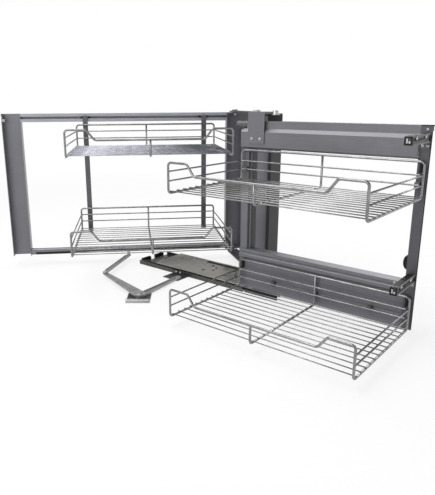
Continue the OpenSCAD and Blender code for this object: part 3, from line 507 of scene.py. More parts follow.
# %% Finishes of the model's own parts
FINISH_OF = {
    frame_paint: ["rear_near_upright", "rear_hinge_plates", "front_left_post", "front_pivot_plate",
                  "hanger_strap"],
    far_upright_lit_paint: ["rear_far_upright"],
    door_post_shaded_paint: ["front_right_post"],
    beam_paint: ["front_top_beam", "front_bottom_beam", "rear_bottom_tube"],
    rail_paint: ["rear_top_rail"],
    post_paint: ["swing_post", "lower_swing_plate", "top_swing_plate"],
    hanger_paint: ["hanger_posts", "rear_basket_hooks"],
    zinc_plate: ["runner_slider"],
    dark_zinc: ["runner_rail", "runner_middle", "linkage_bracket"],
    slide_zinc: ["upper_door_slide", "lower_door_slide"],
    foot_zinc: ["foot_plate", "door_slide_rails", "front_basket_clips"],
    linkage_zinc: ["brace_bar", "lever_arm", "link_arm"],
    bright_steel: ["outer_ball_cage", "inner_ball_cage", "foot_pivot_pin", "elbow_pin", "link_stud",
                   "front_lower_pivot", "front_upper_pivot", "rear_lower_pivot", "rear_upper_pivot",
                   "post_bolts", "bracket_screws", "strap_screws", "door_slide_screws", "guide_roller",
                   "stop_bolt"],
    black_plastic: ["runner_end_stops", "glide_blocks", "stop_block", "door_buffer"],
}


def dress(node, material):
    """Gives every material slot of a carried-over node the same finish."""
    slots = node.data.materials
    if not slots:
        slots.append(material)
    for i in range(len(slots)):
        slots[i] = material


for material, names in FINISH_OF.items():
    for name in names:
        dress(NODES[name], material)
print("dressed", sum(len(v) for v in FINISH_OF.values()))


# %% [markdown]
# A bent wire is a path with rounded corners. A curve object with a bevel could
# do it, but its bends follow its handles, while a wire bender gives every bend
# one radius. So a path here is a list of corners with a radius at each, and
# every corner becomes a true arc.

# %% Rounded paths
def rounded_path(corners, radius, closed=False, steps=7):
    """Straight runs joined by arcs, in millimetres.

    An arc's centre lies on the corner's bisector, at the bend radius divided by
    the sine of half the corner's angle. Its points turn evenly round it from the
    end of one run to the start of the next.
    """
    corners = [np.array(c, float) for c in corners]
    radii = radius if isinstance(radius, (list, tuple)) else [radius] * len(corners)
    points = []
    for i, here in enumerate(corners):
        if not closed and i in (0, len(corners) - 1):
            points.append(here)
            continue
        before = corners[i - 1] - here
        after = corners[(i + 1) % len(corners)] - here
        before /= np.linalg.norm(before)
        after /= np.linalg.norm(after)
        half = math.acos(np.clip(before @ after, -1, 1)) / 2
        inward = (before + after) / np.linalg.norm(before + after)
        centre = here + inward * radii[i] / math.sin(half)
        start = here + before * radii[i] / math.tan(half) - centre
        finish = here + after * radii[i] / math.tan(half) - centre
        sweep = math.pi - 2 * half
        share = np.linspace(0, 1, steps + 1)
        turned = (np.sin((1 - share) * sweep)[:, None] * start
                  + np.sin(share * sweep)[:, None] * finish) / math.sin(sweep)
        points.extend(centre + turned)
    return np.array(points)


print("one corner gives", len(rounded_path([(0, 0, 0), (9, 0, 0), (9, 9, 0)], 3)) - 2, "points")

# %% [markdown]
# The wire's skin is a ring of points carried along the path. Each ring is the
# one before it, turned no more than it must to stay square to the path. This
# is called parallel transport, and it keeps the tube and the lines on it from
# twisting. The ends get a slight dome, as cropped wire has.

# %% Tube skin
def grid_faces(rows, sides, closed=False):
    """Faces between neighbouring rings, where point j of ring i has the number i * sides + j."""
    i, j = np.meshgrid(np.arange(rows if closed else rows - 1), np.arange(sides), indexing="ij")
    k, m = (j + 1) % sides, (i + 1) % rows
    return np.stack([i * sides + j, i * sides + k, m * sides + k, m * sides + j], -1).reshape(-1, 4)


DOME_RISE, DOME_RADIUS = 0.25, 0.72
OFF_AXIS = (0.3, 0.5, 0.81)  # no wire starts out in this direction


def tube_parts(path, radius, sides, closed=False):
    """Vertices, faces and UVs of one round wire along path, with slightly domed ends.

    Point = path point + radius * (cos a * side + sin a * up), where side is the
    direction carried along and up is square to it and to the path.
    """
    n = len(path)
    step = np.roll(path, -1, 0) - path
    if not closed:
        step[-1] = step[-2]
    length = np.linalg.norm(step, axis=1)
    ahead = step / length[:, None]
    tangent = ahead + np.roll(ahead, 1, 0)
    if not closed:
        tangent[0], tangent[-1] = ahead[0], ahead[-1]
    tangent /= np.linalg.norm(tangent, axis=1)[:, None]
    side = np.zeros_like(path)
    first = np.cross(tangent[0], OFF_AXIS)
    side[0] = first / np.linalg.norm(first)
    for i in range(1, n):
        moved = side[i - 1] - (side[i - 1] @ tangent[i]) * tangent[i]
        side[i] = moved / np.linalg.norm(moved)
    up = np.cross(tangent, side)
    angle = np.linspace(0, 2 * math.pi, sides, endpoint=False)
    ring = np.cos(angle)[None, :, None] * side[:, None] + np.sin(angle)[None, :, None] * up[:, None]
    rows = path[:, None] + radius * ring
    along = np.concatenate([[0], np.cumsum(length)])[:n]
    if not closed:
        dome = DOME_RISE * radius
        start = path[0] - tangent[0] * dome + DOME_RADIUS * radius * ring[0]
        end = path[-1] + tangent[-1] * dome + DOME_RADIUS * radius * ring[-1]
        rows = np.concatenate([start[None], rows, end[None]])
        along = np.concatenate([[along[0] - dome], along, [along[-1] + dome]])
    count = len(rows)
    i, j = np.meshgrid(np.arange(count if closed else count - 1), np.arange(sides), indexing="ij")
    u0, u1 = along[i], np.where(i + 1 < count, along[(i + 1) % count], along[-1] + length[-1])
    v0, v1 = j / sides, (j + 1) / sides
    uvs = np.stack([np.stack([u0, v0], -1), np.stack([u0, v1], -1),
                    np.stack([u1, v1], -1), np.stack([u1, v0], -1)], -2).reshape(-1, 4, 2)
    caps = None if closed else (np.arange(sides)[::-1], (count - 1) * sides + np.arange(sides))
    return rows.reshape(-1, 3), grid_faces(count, sides, closed), uvs, caps


print("tube skin ready")

# %% [markdown]
# All wires of one kind in a basket go into one object: they have the same
# gauge, the same plate and the same motion, and one mesh is quicker to draw
# than one for each wire. Lengths are in millimetres up to here and become
# metres in the mesh.

# %% Wires as one object
def make_wires(name, wires, body, replaced, material):
    """One object from many wires: (path, radius, sides, closed) in millimetres."""
    vertices, faces, uvs, base = [], [], [], 0
    for path, radius, sides, closed in wires:
        v, f, uv, ends = tube_parts(path, radius, sides, closed)
        vertices.append(v)
        faces.extend((f + base).tolist())
        uvs.append(uv.reshape(-1, 2))
        for cap in ends or ():
            faces.append((cap + base).tolist())
            uvs.append(np.zeros((len(cap), 2)))
        base += len(v)
    mesh = bpy.data.meshes.new(name)
    mesh.from_pydata((np.concatenate(vertices) * MM).tolist(), [], faces)
    layer = mesh.uv_layers.new(name="wire")
    layer.data.foreach_set("uv", (np.concatenate(uvs) * (MM, 1.0)).ravel())
    mesh.polygons.foreach_set("use_smooth", np.ones(len(mesh.polygons), bool))
    mesh.materials.append(material)
    piece = new_object(name, mesh)
    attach(piece, body)
    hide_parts(*replaced)


print("wire helpers ready")

# %% [markdown]
# Where things stand on plan. The front frame is square to the runner. The rear
# frame is turned about its hinge, so points in its own plan are carried over
# by one rotation. Turning the points, and not the object, keeps every object
# at the origin, where the finishes need it.

# %% Places
FRONT_X, FRONT_Y = 247.0, -87.0
FRONT_CORNER = np.array([FRONT_X, FRONT_Y])
REAR_AXIS = np.array([-16.0, 237.0])
REAR_ANGLE = math.radians(47)
AXIS_IN_UPRIGHT = np.array([-34.0, 15.0])


def on_front(points):
    """Front frame's own coordinates to the whole unit's, in millimetres: one shift."""
    return np.asarray(points, float) + [*FRONT_CORNER, 0]


def on_rear(points):
    """Rear frame's own coordinates to the whole unit's: shift to the hinge, turn, shift."""
    points = np.array(points, float)
    plan = points[..., :2] - AXIS_IN_UPRIGHT
    c, s = math.cos(REAR_ANGLE), math.sin(REAR_ANGLE)
    points[..., 0] = REAR_AXIS[0] + c * plan[..., 0] - s * plan[..., 1]
    points[..., 1] = REAR_AXIS[1] + s * plan[..., 0] + c * plan[..., 1]
    return points


print("rear hinge", REAR_AXIS.tolist())

# %% [markdown]
# A basket is one thick wire bent into a closed loop: up the back, along the
# floor's side, up at the front corner, down a slope to the low front rail.
# A second thick wire crosses the middle. Two thinner wires run round the back
# and sides, and thirteen thin ones make the floor. All four baskets come from
# one function, as the real ones come from one bending jig.

# %% Basket wires
THICK, SIDE, THIN = 3.2, 2.2, 1.6
BEND, SLOPE_BEND, SIDE_BEND = 10.2, 12, 9.2
CORNER_H, LOW_RAIL, RAISED, SLOPE, WELD = 81, 50, 64, 24, 0.8
SIDE_LEVELS = (CORNER_H * 0.40, CORNER_H * 0.71)
FLOOR_WIRES = 13


def basket_wires(length, depth, back_h):
    """Thick, side and floor wires and the weld spots of one basket, from its back left corner."""
    low = RAISED + SLOPE
    loop = [(0, 0, back_h), (0, 0, 0), (0, -depth, 0), (0, -depth, CORNER_H), (RAISED, -depth, CORNER_H),
            (low, -depth, LOW_RAIL), (length - low, -depth, LOW_RAIL), (length - RAISED, -depth, CORNER_H),
            (length, -depth, CORNER_H), (length, -depth, 0), (length, 0, 0), (length, 0, back_h)]
    radii = [BEND] * 4 + [SLOPE_BEND] * 4 + [BEND] * 4
    frame_wires = [(rounded_path(loop, radii, True), THICK, 18, True)]
    middle = [(length / 2, -depth, LOW_RAIL - WELD), (length / 2, -depth, 0), (length / 2, 0, 0),
              (length / 2, 0, back_h - WELD)]
    frame_wires.append((rounded_path(middle, BEND), THICK, 18, False))
    inset = THICK + SIDE - WELD
    round_wires = []
    for z in SIDE_LEVELS:
        bow = [(0, -depth + THICK, z), (0, -inset, z), (length, -inset, z), (length, -depth + THICK, z)]
        round_wires.append((rounded_path(bow, SIDE_BEND), SIDE, 12, False))
    rise = THICK + THIN - WELD
    first = -BEND - 2
    rows = first - np.arange(FLOOR_WIRES) * (depth + 2 * first) / (FLOOR_WIRES - 1)
    reach = THICK + 1
    floor_list = [(np.array([(-reach, y, rise), (length / 3, y, rise), (2 * length / 3, y, rise),
                             (length + reach, y, rise)], float), THIN, 10, False) for y in rows]
    spots = [(x, y, THICK - 0.2) for x in (0, length / 2, length) for y in rows]
    spots += [(length / 2, -inset / 2, z) for z in SIDE_LEVELS]
    spots += [(x, -depth + THICK, z) for x in (0, length) for z in SIDE_LEVELS]
    return frame_wires, round_wires, floor_list, np.array(spots, float)


print("side wires at", SIDE_LEVELS)

# %% [markdown]
# Where wires cross they are spot welded, and each weld squeezes out a little
# bead. A ball object for each would be slow, with forty-five in a basket. So
# they share one mesh, and each has few faces: four rings of eight points on a
# flattened ball, closed by a point at each pole.

# %% Weld beads
BEAD_SIDES, BEAD_RINGS, BEAD_SIZE = 8, 4, (2.5, 2.5, 1.5)


def fan(pole, start, sides, inward=False):
    """Triangles that join one pole point to the ring of points that starts at the given number."""
    j = np.arange(sides)
    k = (j + 1) % sides
    first, second = (k, j) if inward else (j, k)
    return np.stack([np.full(sides, pole), start + first, start + second], -1)


def weld_beads(name, spots, body, material):
    """At each spot the same flattened ball: (cos lat cos lon, cos lat sin lon, sin lat) times its size."""
    lon = np.linspace(0, 2 * math.pi, BEAD_SIDES, endpoint=False)
    lat = np.linspace(-math.pi / 2, math.pi / 2, BEAD_RINGS + 2)[1:-1]
    ring = np.stack([np.outer(np.cos(lat), np.cos(lon)), np.outer(np.cos(lat), np.sin(lon)),
                     np.outer(np.sin(lat), np.ones(BEAD_SIDES))], -1).reshape(-1, 3)
    one = np.concatenate([ring, [[0, 0, -1]], [[0, 0, 1]]]) * BEAD_SIZE
    poles = BEAD_RINGS * BEAD_SIDES
    quads = grid_faces(BEAD_RINGS, BEAD_SIDES)
    bottom, top = fan(poles, 0, BEAD_SIDES, True), fan(poles + 1, poles - BEAD_SIDES, BEAD_SIDES)
    vertices = (spots[:, None] + one[None]).reshape(-1, 3)
    faces = []
    for base in range(0, len(vertices), len(one)):
        faces += (quads + base).tolist() + (bottom + base).tolist() + (top + base).tolist()
    mesh = bpy.data.meshes.new(name)
    mesh.from_pydata((vertices * MM).tolist(), [], faces)
    mesh.uv_layers.new(name="wire")
    mesh.polygons.foreach_set("use_smooth", np.ones(len(mesh.polygons), bool))
    mesh.materials.append(material)
    piece = new_object(name, mesh)
    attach(piece, body)


print("bead", BEAD_SIZE)

# %% [markdown]
# Two baskets hang in each frame, one above the other. The front ones are wider.
# The rear ones are deeper with a lower back, and are turned with their frame.
# Drawn where they hang, the two kinds would need different sums. So a basket is
# worked out in its own coordinates, from its back left corner, and then carried
# to its frame.

# %% Baskets
FRONT_BASKET, REAR_BASKET = (536, 335, 90), (510, 378, 80)
FRONT_AT, REAR_AT = (7, -10, 26 + THICK), (-629, -15, 36)
FRONT_LEVELS, REAR_LEVELS = (0, 350), (104, 416)


def carried(wires, corner, carry):
    """The same wires, shifted to a corner and carried into the frame."""
    return [(carry(path + corner), radius, sides, closed) for path, radius, sides, closed in wires]


def build_basket(title, size, place, raised, carry, body, floor_finish=chrome_wire):
    """One basket of size (length, depth, back height), raised above its frame's own place."""
    frame_wires, round_wires, floor_list, spots = basket_wires(*size)
    corner = np.array(place, float) + (0, 0, raised)
    make_wires(title + "_frame_wire", carried(frame_wires, corner, carry), body,
               [title + "_front_rail"], chrome_wire)
    make_wires(title + "_side_wires", carried(round_wires, corner, carry), body,
               [title + "_back"], chrome_wire)
    make_wires(title + "_floor_wires", carried(floor_list, corner, carry), body,
               [title + "_floor"], floor_finish)
    weld_beads(title + "_weld_beads", carry(spots + corner), body, chrome_wire)


build_basket("front_lower", FRONT_BASKET, FRONT_AT, FRONT_LEVELS[0], on_front, "front_frame")
build_basket("front_upper", FRONT_BASKET, FRONT_AT, FRONT_LEVELS[1], on_front, "front_frame")
build_basket("rear_lower", REAR_BASKET, REAR_AT, REAR_LEVELS[0], on_rear, "rear_baskets")
build_basket("rear_upper", REAR_BASKET, REAR_AT, REAR_LEVELS[1], on_rear, "rear_baskets", bright_wire)
print("baskets", FRONT_BASKET, REAR_BASKET)

# %% [markdown]
# Most other pieces need the same last steps: millimetres to metres, smooth
# shading with sharp edges where the surface really turns, a finish, a body to
# ride on and the model's part that the piece stands for. Written out each time
# they would bury the shapes, so one helper does them all.

# %% Piece helpers
def as_piece(name, vertices, faces, body, slot, material, replaced=(), sharp=35, carry=None):
    """Puts millimetre vertices and faces into one object that rides on a body."""
    vertices = np.asarray(vertices, float)
    if carry is not None:
        vertices = carry(vertices)
    mesh = bpy.data.meshes.new(name)
    mesh.from_pydata((vertices * MM).tolist(), [], [list(f) for f in faces])
    mesh.polygons.foreach_set("use_smooth", np.ones(len(mesh.polygons), bool))
    mesh.set_sharp_from_angle(angle=math.radians(sharp))
    mesh.materials.append(material)
    piece = new_object(name, mesh)
    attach(piece, body)
    if replaced:
        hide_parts(*replaced)


def joined(parts):
    """Several (vertices, faces) pairs as one pair."""
    vertices, faces, base = [], [], 0
    for v, f in parts:
        vertices.append(v)
        faces += [[i + base for i in face] for face in f]
        base += len(v)
    return np.concatenate(vertices), faces


print("piece helpers ready")

# %% [markdown]
# Turned parts: pins, rollers and caps come from a lathe, so they are a profile
# of radius and height, carried once round an axis. The Spin tool can do this,
# but a grid of points keeps it in one formula. The profile starts and ends on
# the axis, so each part is closed, with its own chamfers and dimples.

# %% Turned parts
AXES = {"x": ((0, 1, 0), (0, 0, 1), (1, 0, 0)), "-y": ((1, 0, 0), (0, 0, 1), (0, -1, 0)),
        "z": ((1, 0, 0), (0, 1, 0), (0, 0, 1))}


def turned(profile, centre, axis="z", sides=40):
    """Ring k is radius_k round the axis at height_k; its ends close on the axis itself."""
    profile = np.array(profile, float)
    inner = profile[1:-1]
    angle = np.linspace(0, 2 * math.pi, sides, endpoint=False)
    u, v, w = (np.array(d, float) for d in AXES[axis])
    ring = np.cos(angle)[:, None] * u + np.sin(angle)[:, None] * v
    rows = inner[:, 0, None, None] * ring[None] + inner[:, 1, None, None] * w
    vertices = np.concatenate([rows.reshape(-1, 3), [profile[0, 1] * w], [profile[-1, 1] * w]])
    n = len(inner)
    faces = grid_faces(n, sides).tolist() + fan(n * sides, 0, sides, True).tolist()
    faces += fan(n * sides + 1, (n - 1) * sides, sides).tolist()
    return vertices + np.array(centre, float), faces


CHAMFER, CHAMFER_OF_HEIGHT, CHAMFER_OF_RADIUS = 0.6, 0.3, 0.2


def pin_profile(steps):
    """Turns (radius, from height, to height) steps into a profile with small chamfers."""
    profile = [(0, steps[0][1])]
    for radius, z0, z1 in steps:
        c = min(CHAMFER, CHAMFER_OF_HEIGHT * (z1 - z0), CHAMFER_OF_RADIUS * radius)
        profile += [(radius - c, z0), (radius, z0 + c), (radius, z1 - c), (radius - c, z1)]
    return profile + [(0, steps[-1][2])]


print("a stepped pin has", len(pin_profile([(4, 0, 5), (7, 5, 6)])), "profile points")

# %% [markdown]
# The two pins of the linkage are rivets with a dimpled head, the guide roller
# has a groove round its tyre, and the stop block holds a capped bolt. Over
# each frame's upper pivot sits a shallow cap. Heads and caps have a hollow in
# the middle, since that is where the light shows that they are turned.

# %% Pins, roller and caps
FOOT = np.array([29.0, -337.0])
LEVER_ANGLE, LINK_ANGLE, LEVER_LENGTH = math.radians(165), math.radians(115), 247
ELBOW = FOOT + LEVER_LENGTH * np.array([math.cos(LEVER_ANGLE), math.sin(LEVER_ANGLE)])
FRONT_AXIS = FRONT_CORNER + [40, 15]
as_piece("foot_pivot_rivet", *turned(pin_profile([(6, 3, 8), (11, 8, 12.45), (6, 12.45, 16.55)])
         [:-1] + [(11, 16.6), (11, 17.8), (9.5, 18.55), (3.5, 18.55), (2.5, 17.9), (0, 17.9)], (*FOOT, 0)),
         "runner", "steel", bright_steel, ["foot_pivot_pin"])
as_piece("elbow_rivet", *turned(pin_profile([(4, 12.5, 16.5), (7, 16.5, 17.4), (4, 17.4, 21.55)])
         [:-1] + [(7, 21.6), (7, 22.6), (5.8, 23.55), (2.4, 23.55), (1.8, 22.9), (0, 22.9)], (*ELBOW, 0)),
         "lever", "steel", bright_steel, ["elbow_pin"])
as_piece("roller_tyre", *turned([(0, 0), (3.5, 0), (4, 0.8), (7, 0.8), (7.5, 0), (11, 0), (12, 1), (12, 13),
                                 (11.2, 14), (11.2, 15), (12, 16), (12, 41), (11.2, 41.9), (0, 41.9)],
                                (FRONT_X - 26, FRONT_Y + 15, 543.5), "x"),
         "front_frame", "steel", foot_zinc, ["guide_roller"])
BLOCK_TOP = 573.5
as_piece("stop_cap_bolt", *turned([(0, 0), (11.4, 0), (12, 0.5), (12, 1.6), (11.4, 2), (9, 2), (9, 11.2),
                                   (8.3, 12.6), (7, 13), (4.6, 13), (4.2, 12.6), (4.2, 8), (0, 8)],
                                  (FRONT_X + 105, FRONT_Y + 15, BLOCK_TOP), "z", 48),
         "front_frame", "steel", bright_steel, ["stop_bolt"])
as_piece("front_pivot_cap", *turned([(0, 583.2), (10.8, 583.2), (11.1, 583.6), (11.1, 586.8), (10.2, 587.9),
                                     (5.2, 588), (4.8, 587.6), (4.6, 585.5), (0, 585.5)], (*FRONT_AXIS, 0.2)),
         "carriage", "steel", bright_steel)
as_piece("rear_pivot_cap", *turned([(0, 578.6), (10.9, 578.6), (11.1, 579), (11.1, 582.6), (10.2, 583.6),
                                    (5.2, 583.7), (4.8, 583.2), (4.6, 581.5), (0, 581.5)], (*REAR_AXIS, 0)),
         "carriage", "steel", bright_steel)
print("pins, roller and caps 6, elbow at", np.round(ELBOW, 1).tolist())

# %% [markdown]
# The lever turns on a raised boss with a hole in it. Cutting a hole in a disc
# would need a boolean. Here a closed outline goes round the axis and never
# touches it, so the hole is there from the start.

# %% Boss ring
BOSS_SIDES = 48


def washer(outline, centre):
    """A closed outline of (radius, height) carried round the upright axis: a ring with its hole."""
    outline = np.array(outline, float)
    angle = np.linspace(0, 2 * math.pi, BOSS_SIDES, endpoint=False)
    r, z = outline[:, 0], outline[:, 1]
    rows = np.stack([np.outer(r, np.cos(angle)), np.outer(r, np.sin(angle)),
                     np.outer(z, np.ones(BOSS_SIDES))], -1)
    return rows.reshape(-1, 3) + np.array(centre, float), grid_faces(len(outline), BOSS_SIDES, True).tolist()


as_piece("lever_boss_ring", *washer([(11.4, 16.4), (20.5, 16.4), (20.5, 17.0), (19.6, 17.7), (16.4, 17.8),
                                     (15.6, 17.2), (13.4, 17.2), (12.8, 17.8), (11.4, 17.6)], (*FOOT, 0)),
         "lever", "zinc", linkage_zinc)
print("boss ring at", FOOT.tolist())

# %% [markdown]
# Screws. Each head is a dome with a cross pressed into it, small enough that
# only the highlight on its rim shows from where the camera stands. A boolean
# cut would leave thin slivers, so the cross is part of the dome's own height.

# %% Screw heads
HEAD_SIDES, HEAD_RINGS = 48, 12
RIM_HEIGHT, CROWN_HEIGHT, CROWN_REACH = 0.45, 0.55, 0.97   # shares of the head's height and radius
GROOVE_HALF, GROOVE_WALL, GROOVE_DEEP = 0.17, 0.08, 0.75   # shares of the radius, and of the height
GROOVE_END, END_WALL = 0.66, 0.1                           # shares of the radius


def cross_head(centre, radius, height, axis):
    """Pan head over a disc. Its height falls towards the rim as the root of 1 - share * share does.

    A groove takes some height away wherever a point is close to either of two
    crossing lines and not too far from the middle.
    """
    angle = np.linspace(0, 2 * math.pi, HEAD_SIDES, endpoint=False)
    share, around = np.meshgrid(np.linspace(0, 1, HEAD_RINGS + 1)[1:], angle, indexing="ij")
    dome = height * (RIM_HEIGHT + CROWN_HEIGHT * np.sqrt(np.clip(1 - (share * CROWN_REACH) ** 2, 0, 1)))
    across = np.minimum(np.abs(share * np.cos(around)), np.abs(share * np.sin(around)))
    groove = (np.clip((GROOVE_HALF - across) / GROOVE_WALL, 0, 1)
              * np.clip((GROOVE_END - share) / END_WALL, 0, 1))
    rise = dome - GROOVE_DEEP * height * groove
    u, v, w = (np.array(d, float) for d in AXES[axis])
    rows = ((radius * share * np.cos(around))[..., None] * u
            + (radius * share * np.sin(around))[..., None] * v + rise[..., None] * w)
    foot = radius * (np.cos(angle)[:, None] * u + np.sin(angle)[:, None] * v)
    vertices = np.concatenate([rows.reshape(-1, 3), foot, [(1 - GROOVE_DEEP) * height * w], [0 * w]])
    faces = grid_faces(HEAD_RINGS + 1, HEAD_SIDES)[:, [0, 3, 2, 1]].tolist()
    top_pole, rim = (HEAD_RINGS + 1) * HEAD_SIDES, HEAD_RINGS * HEAD_SIDES
    faces += fan(top_pole, 0, HEAD_SIDES).tolist() + fan(top_pole + 1, rim, HEAD_SIDES, True).tolist()
    return vertices + np.array(centre, float), faces


STRAP_FACE, SLIDE_X = FRONT_Y - 8 - 3, FRONT_X + 531
strap_spots = [(FRONT_X + 27 + x, STRAP_FACE, 504) for x in (14, 43)]
door_spots = [(SLIDE_X + x, -89.5, z - 8) for x in (0, 12) for z in (160, 515)]
corner_spots = [(786, FRONT_Y, 545), (745, -92, 149), (766, -92, 149)]
bracket_spots = [(x, -79 - 3, 8.5) for x in (-39, -19)]
post_spots = [(x, y, 28) for x in (217, 291) for y in (21, 73)]


def heads_at(name, spots, radius, height, axis, body, replaced):
    """One object with the same head at each spot."""
    as_piece(name, *joined([cross_head(c, radius, height, axis) for c in spots]), body, "steel", bright_steel,
             [replaced] if replaced else (), sharp=50)


heads_at("strap_screw_heads", strap_spots, 4.6, 3.0, "-y", "front_frame", "strap_screws")
heads_at("bracket_screw_heads", bracket_spots, 4.4, 3.0, "-y", "runner", "bracket_screws")
heads_at("post_bolt_heads", post_spots, 3.4, 3.0, "z", "carriage", "post_bolts")
heads_at("door_screw_heads", door_spots, 3.9, 3.0, "-y", "front_frame", "door_slide_screws")
heads_at("frame_corner_screws", corner_spots, 3.6, 2.4, "-y", "front_frame", None)


# %% [markdown]
# Formed strips. Rolled and folded sheet has one section all along. It could be
# a box with its edges bevelled, but then each bend would have to be found again
# in the mesh. So a closed outline in one plane is drawn out along a straight
# line, with its corners rounded first. The first strips are the two raised
# beads along the front frame's bottom beam.

# %% Formed strips
RUN_X = ((0, 1, 0), (0, 0, 1), (1, 0, 0))   # outline across y and up z, drawn out along x
RUN_Y = ((1, 0, 0), (0, 0, 1), (0, 1, 0))   # outline across x and up z, drawn out along y
RUN_UP = ((1, 0, 0), (0, 1, 0), (0, 0, 1))  # outline across x and y, drawn out upwards
OUTLINE_STEPS = 4


def rounded_outline(points, radius):
    """A closed 2-D outline with every corner turned into an arc of the given radius."""
    return rounded_path([(x, y, 0.0) for x, y in points], radius, True, OUTLINE_STEPS)[:, :2]


def drawn_out(outline, origin, across, up, along, length):
    """Point (x, y) of the outline goes to origin + x * across + y * up, and again a length farther along.

    Side walls join the two copies, and a cap closes each end.
    """
    outline = np.asarray(outline, float)
    across, up, along = (np.array(d, float) for d in (across, up, along))
    area = np.sum(outline[:, 0] * np.roll(outline[:, 1], -1) - np.roll(outline[:, 0], -1) * outline[:, 1])
    if area * np.dot(np.cross(across, up), along) < 0:
        outline = outline[::-1]
    n = len(outline)
    near = np.array(origin, float) + outline[:, :1] * across + outline[:, 1:] * up
    vertices = np.concatenate([near, near + length * along])
    i = np.arange(n)
    k = (i + 1) % n
    faces = np.stack([i, k, n + k, n + i], -1).tolist()
    return vertices, faces + [list(range(n))[::-1], list(range(n, 2 * n))]


def pad(low, high, radius):
    """A block with rounded upright edges between two corners."""
    (x0, y0, z0), (x1, y1, z1) = low, high
    outline = rounded_outline([(x0, y0), (x1, y0), (x1, y1), (x0, y1)], radius)
    return drawn_out(outline, (0, 0, z0), *RUN_UP, z1 - z0)


BEAD_R = 2.0
half = [(BEAD_R * math.cos(a), BEAD_R * math.sin(a)) for a in np.linspace(-math.pi / 2, math.pi / 2, 9)]
bead = [(-max(x, 0), y) for x, y in half] + [(0.4, BEAD_R), (0.4, -BEAD_R)]
beads = [drawn_out(bead, (FRONT_X + 4, FRONT_Y, z), *RUN_X, 515) for z in (62, 100)]
as_piece("bottom_beam_beads", *joined(beads), "front_frame", "frame_paint", beam_paint)
print("beads on the bottom beam", len(beads))

# %% [markdown]
# The right post is a folded sheet: a wide face, a deep flange on the beams'
# side, a short lip on the other. Its open side must stay open, or a broad side
# face shows where the real post has only a dark edge. So one outline follows
# the sheet there and back at its thickness. A plug closes the top. The post's
# paint is the frame's in darker tones, which is painted shade, and two dark
# strips along its open edge are painted shade too.

# %% Right post
fold = rounded_outline([(770, -87), (797, -87), (797, -82.5), (795.4, -82.5), (795.4, -85.4), (771.6, -85.4),
                        (771.6, -57), (770, -57)], 0.5)
as_piece("right_post_fold", *drawn_out(fold, (0, 0, 26), *RUN_UP, 527.2),
         "front_frame", "frame_paint", door_post_shaded_paint, ["front_right_post"])
# Painted shade: dark strips along the post's open edge stand for its shaded edge.
as_piece("right_post_shade_edge", *joined([pad((795.3, -87.3, 28), (797, -82.3, 540), 0.4),
                                     pad((794.6, -84.9, 28), (795.4, -82.3, 540), 0.2)]),
         "front_frame", "post_paint", post_paint)
as_piece("right_post_plug", *joined([pad((771.8, -85.2, 541), (795.2, -70, 553.4), 1.0),
                                     pad((770.2, -87.1, 553.3), (796.9, -69, 556), 1.2)]),
         "front_frame", "black_plastic", black_plastic)
print("right post outline", len(fold), "points")

# %% [markdown]
# The rear frame's bottom tube is round and swaged wider at both ends. A plain
# cylinder would lose the swage, so the tube is a turned bar with steps in its
# profile. Its paint is the frame's in lighter tones, which is painted light
# for its lit upper side, and the black strip below it is painted shade for its
# underside. The strip's outline is an arc on the swage's radius and back on the
# tube's, drawn out along it.

# %% Bottom tube
TUBE_AT = np.array([-829.8, 14.0, 49.0])
TUBE_LENGTH, TUBE_R, SWAGE_R, STRIP_END = 761.6, 12.2, 12.9, 16
bar = [(0, 0), (SWAGE_R - 0.5, 0), (SWAGE_R, 0.5), (SWAGE_R, 12), (TUBE_R, 14), (TUBE_R, TUBE_LENGTH - 14),
       (SWAGE_R, TUBE_LENGTH - 12), (SWAGE_R, TUBE_LENGTH - 0.5), (SWAGE_R - 0.5, TUBE_LENGTH),
       (0, TUBE_LENGTH)]
as_piece("bottom_tube_round", *turned(bar, TUBE_AT, "x", 56), "rear_frame", "frame_paint", tube_lit_paint,
         ["rear_bottom_tube"], carry=on_rear)
sweep = np.radians(np.linspace(182, 330, 31))
shade_arc = np.stack([np.cos(sweep), np.sin(sweep)], 1)
# Painted shade: a black strip along the tube's underside.
as_piece("bottom_tube_shade_strip", *drawn_out(np.concatenate([SWAGE_R * shade_arc, (TUBE_R - 0.1) * shade_arc[::-1]]),
                                         TUBE_AT + [STRIP_END, 0, 0], *RUN_X, TUBE_LENGTH - 2 * STRIP_END),
         "rear_frame", "black_plastic", black_plastic, carry=on_rear)
print("tube length", TUBE_LENGTH)

# %% [markdown]
# The runner's top member carries a small guide channel, and ribbed bumpers stop
# it at the rail's left end. A black strip on its front edge is painted shade,
# for the shadow under the front frame. The swing post has a raised strip down
# its face whose lighter paint is painted light, for the lit part of that face.
# A dark strip on the left post's inner wall is painted shade, and two lugs stand
# on the rear frame. Each is a short section, drawn out in the direction it was
# rolled.

# %% Runner trim and seals
GUIDE_Y, SLIDER_TOP = 57.0, 21.9
wall = [(4.4, 0), (4.4, 2.8), (5.8, 2.8), (5.8, 1.2), (8.4, 1.2), (8.4, 0)]
as_piece("slider_guide_channel", *drawn_out(wall, (-2, GUIDE_Y, SLIDER_TOP), *RUN_X, 205),
         "carriage", "zinc", zinc_plate)

# Painted shade: a black strip on the slider's front edge, for the shadow under the front frame.
edge_shade_outline = rounded_outline([(-81, 3), (-78.6, 3), (-78.6, 22.4), (-60, 22.4), (-60, 23.9), (-81, 23.9)], 0.6)
as_piece("slider_edge_shade_strip", *drawn_out(edge_shade_outline, (262, 0, 0), *RUN_X, 125),
         "carriage", "black_plastic", black_plastic)

stops = []
for y0 in (-59, 13):
    stops.append(pad((-245, y0, 0), (-240, y0 + 46, 15), 2.0))
    stops += [pad((-240.2, y0 + 1 + i * 10.2, 0.6), (-233, y0 + 4 + i * 10.2, 14.2), 0.8) for i in range(5)]
as_piece("end_stop_bumpers", *joined(stops), "runner", "black_plastic", black_plastic, ["runner_end_stops"])
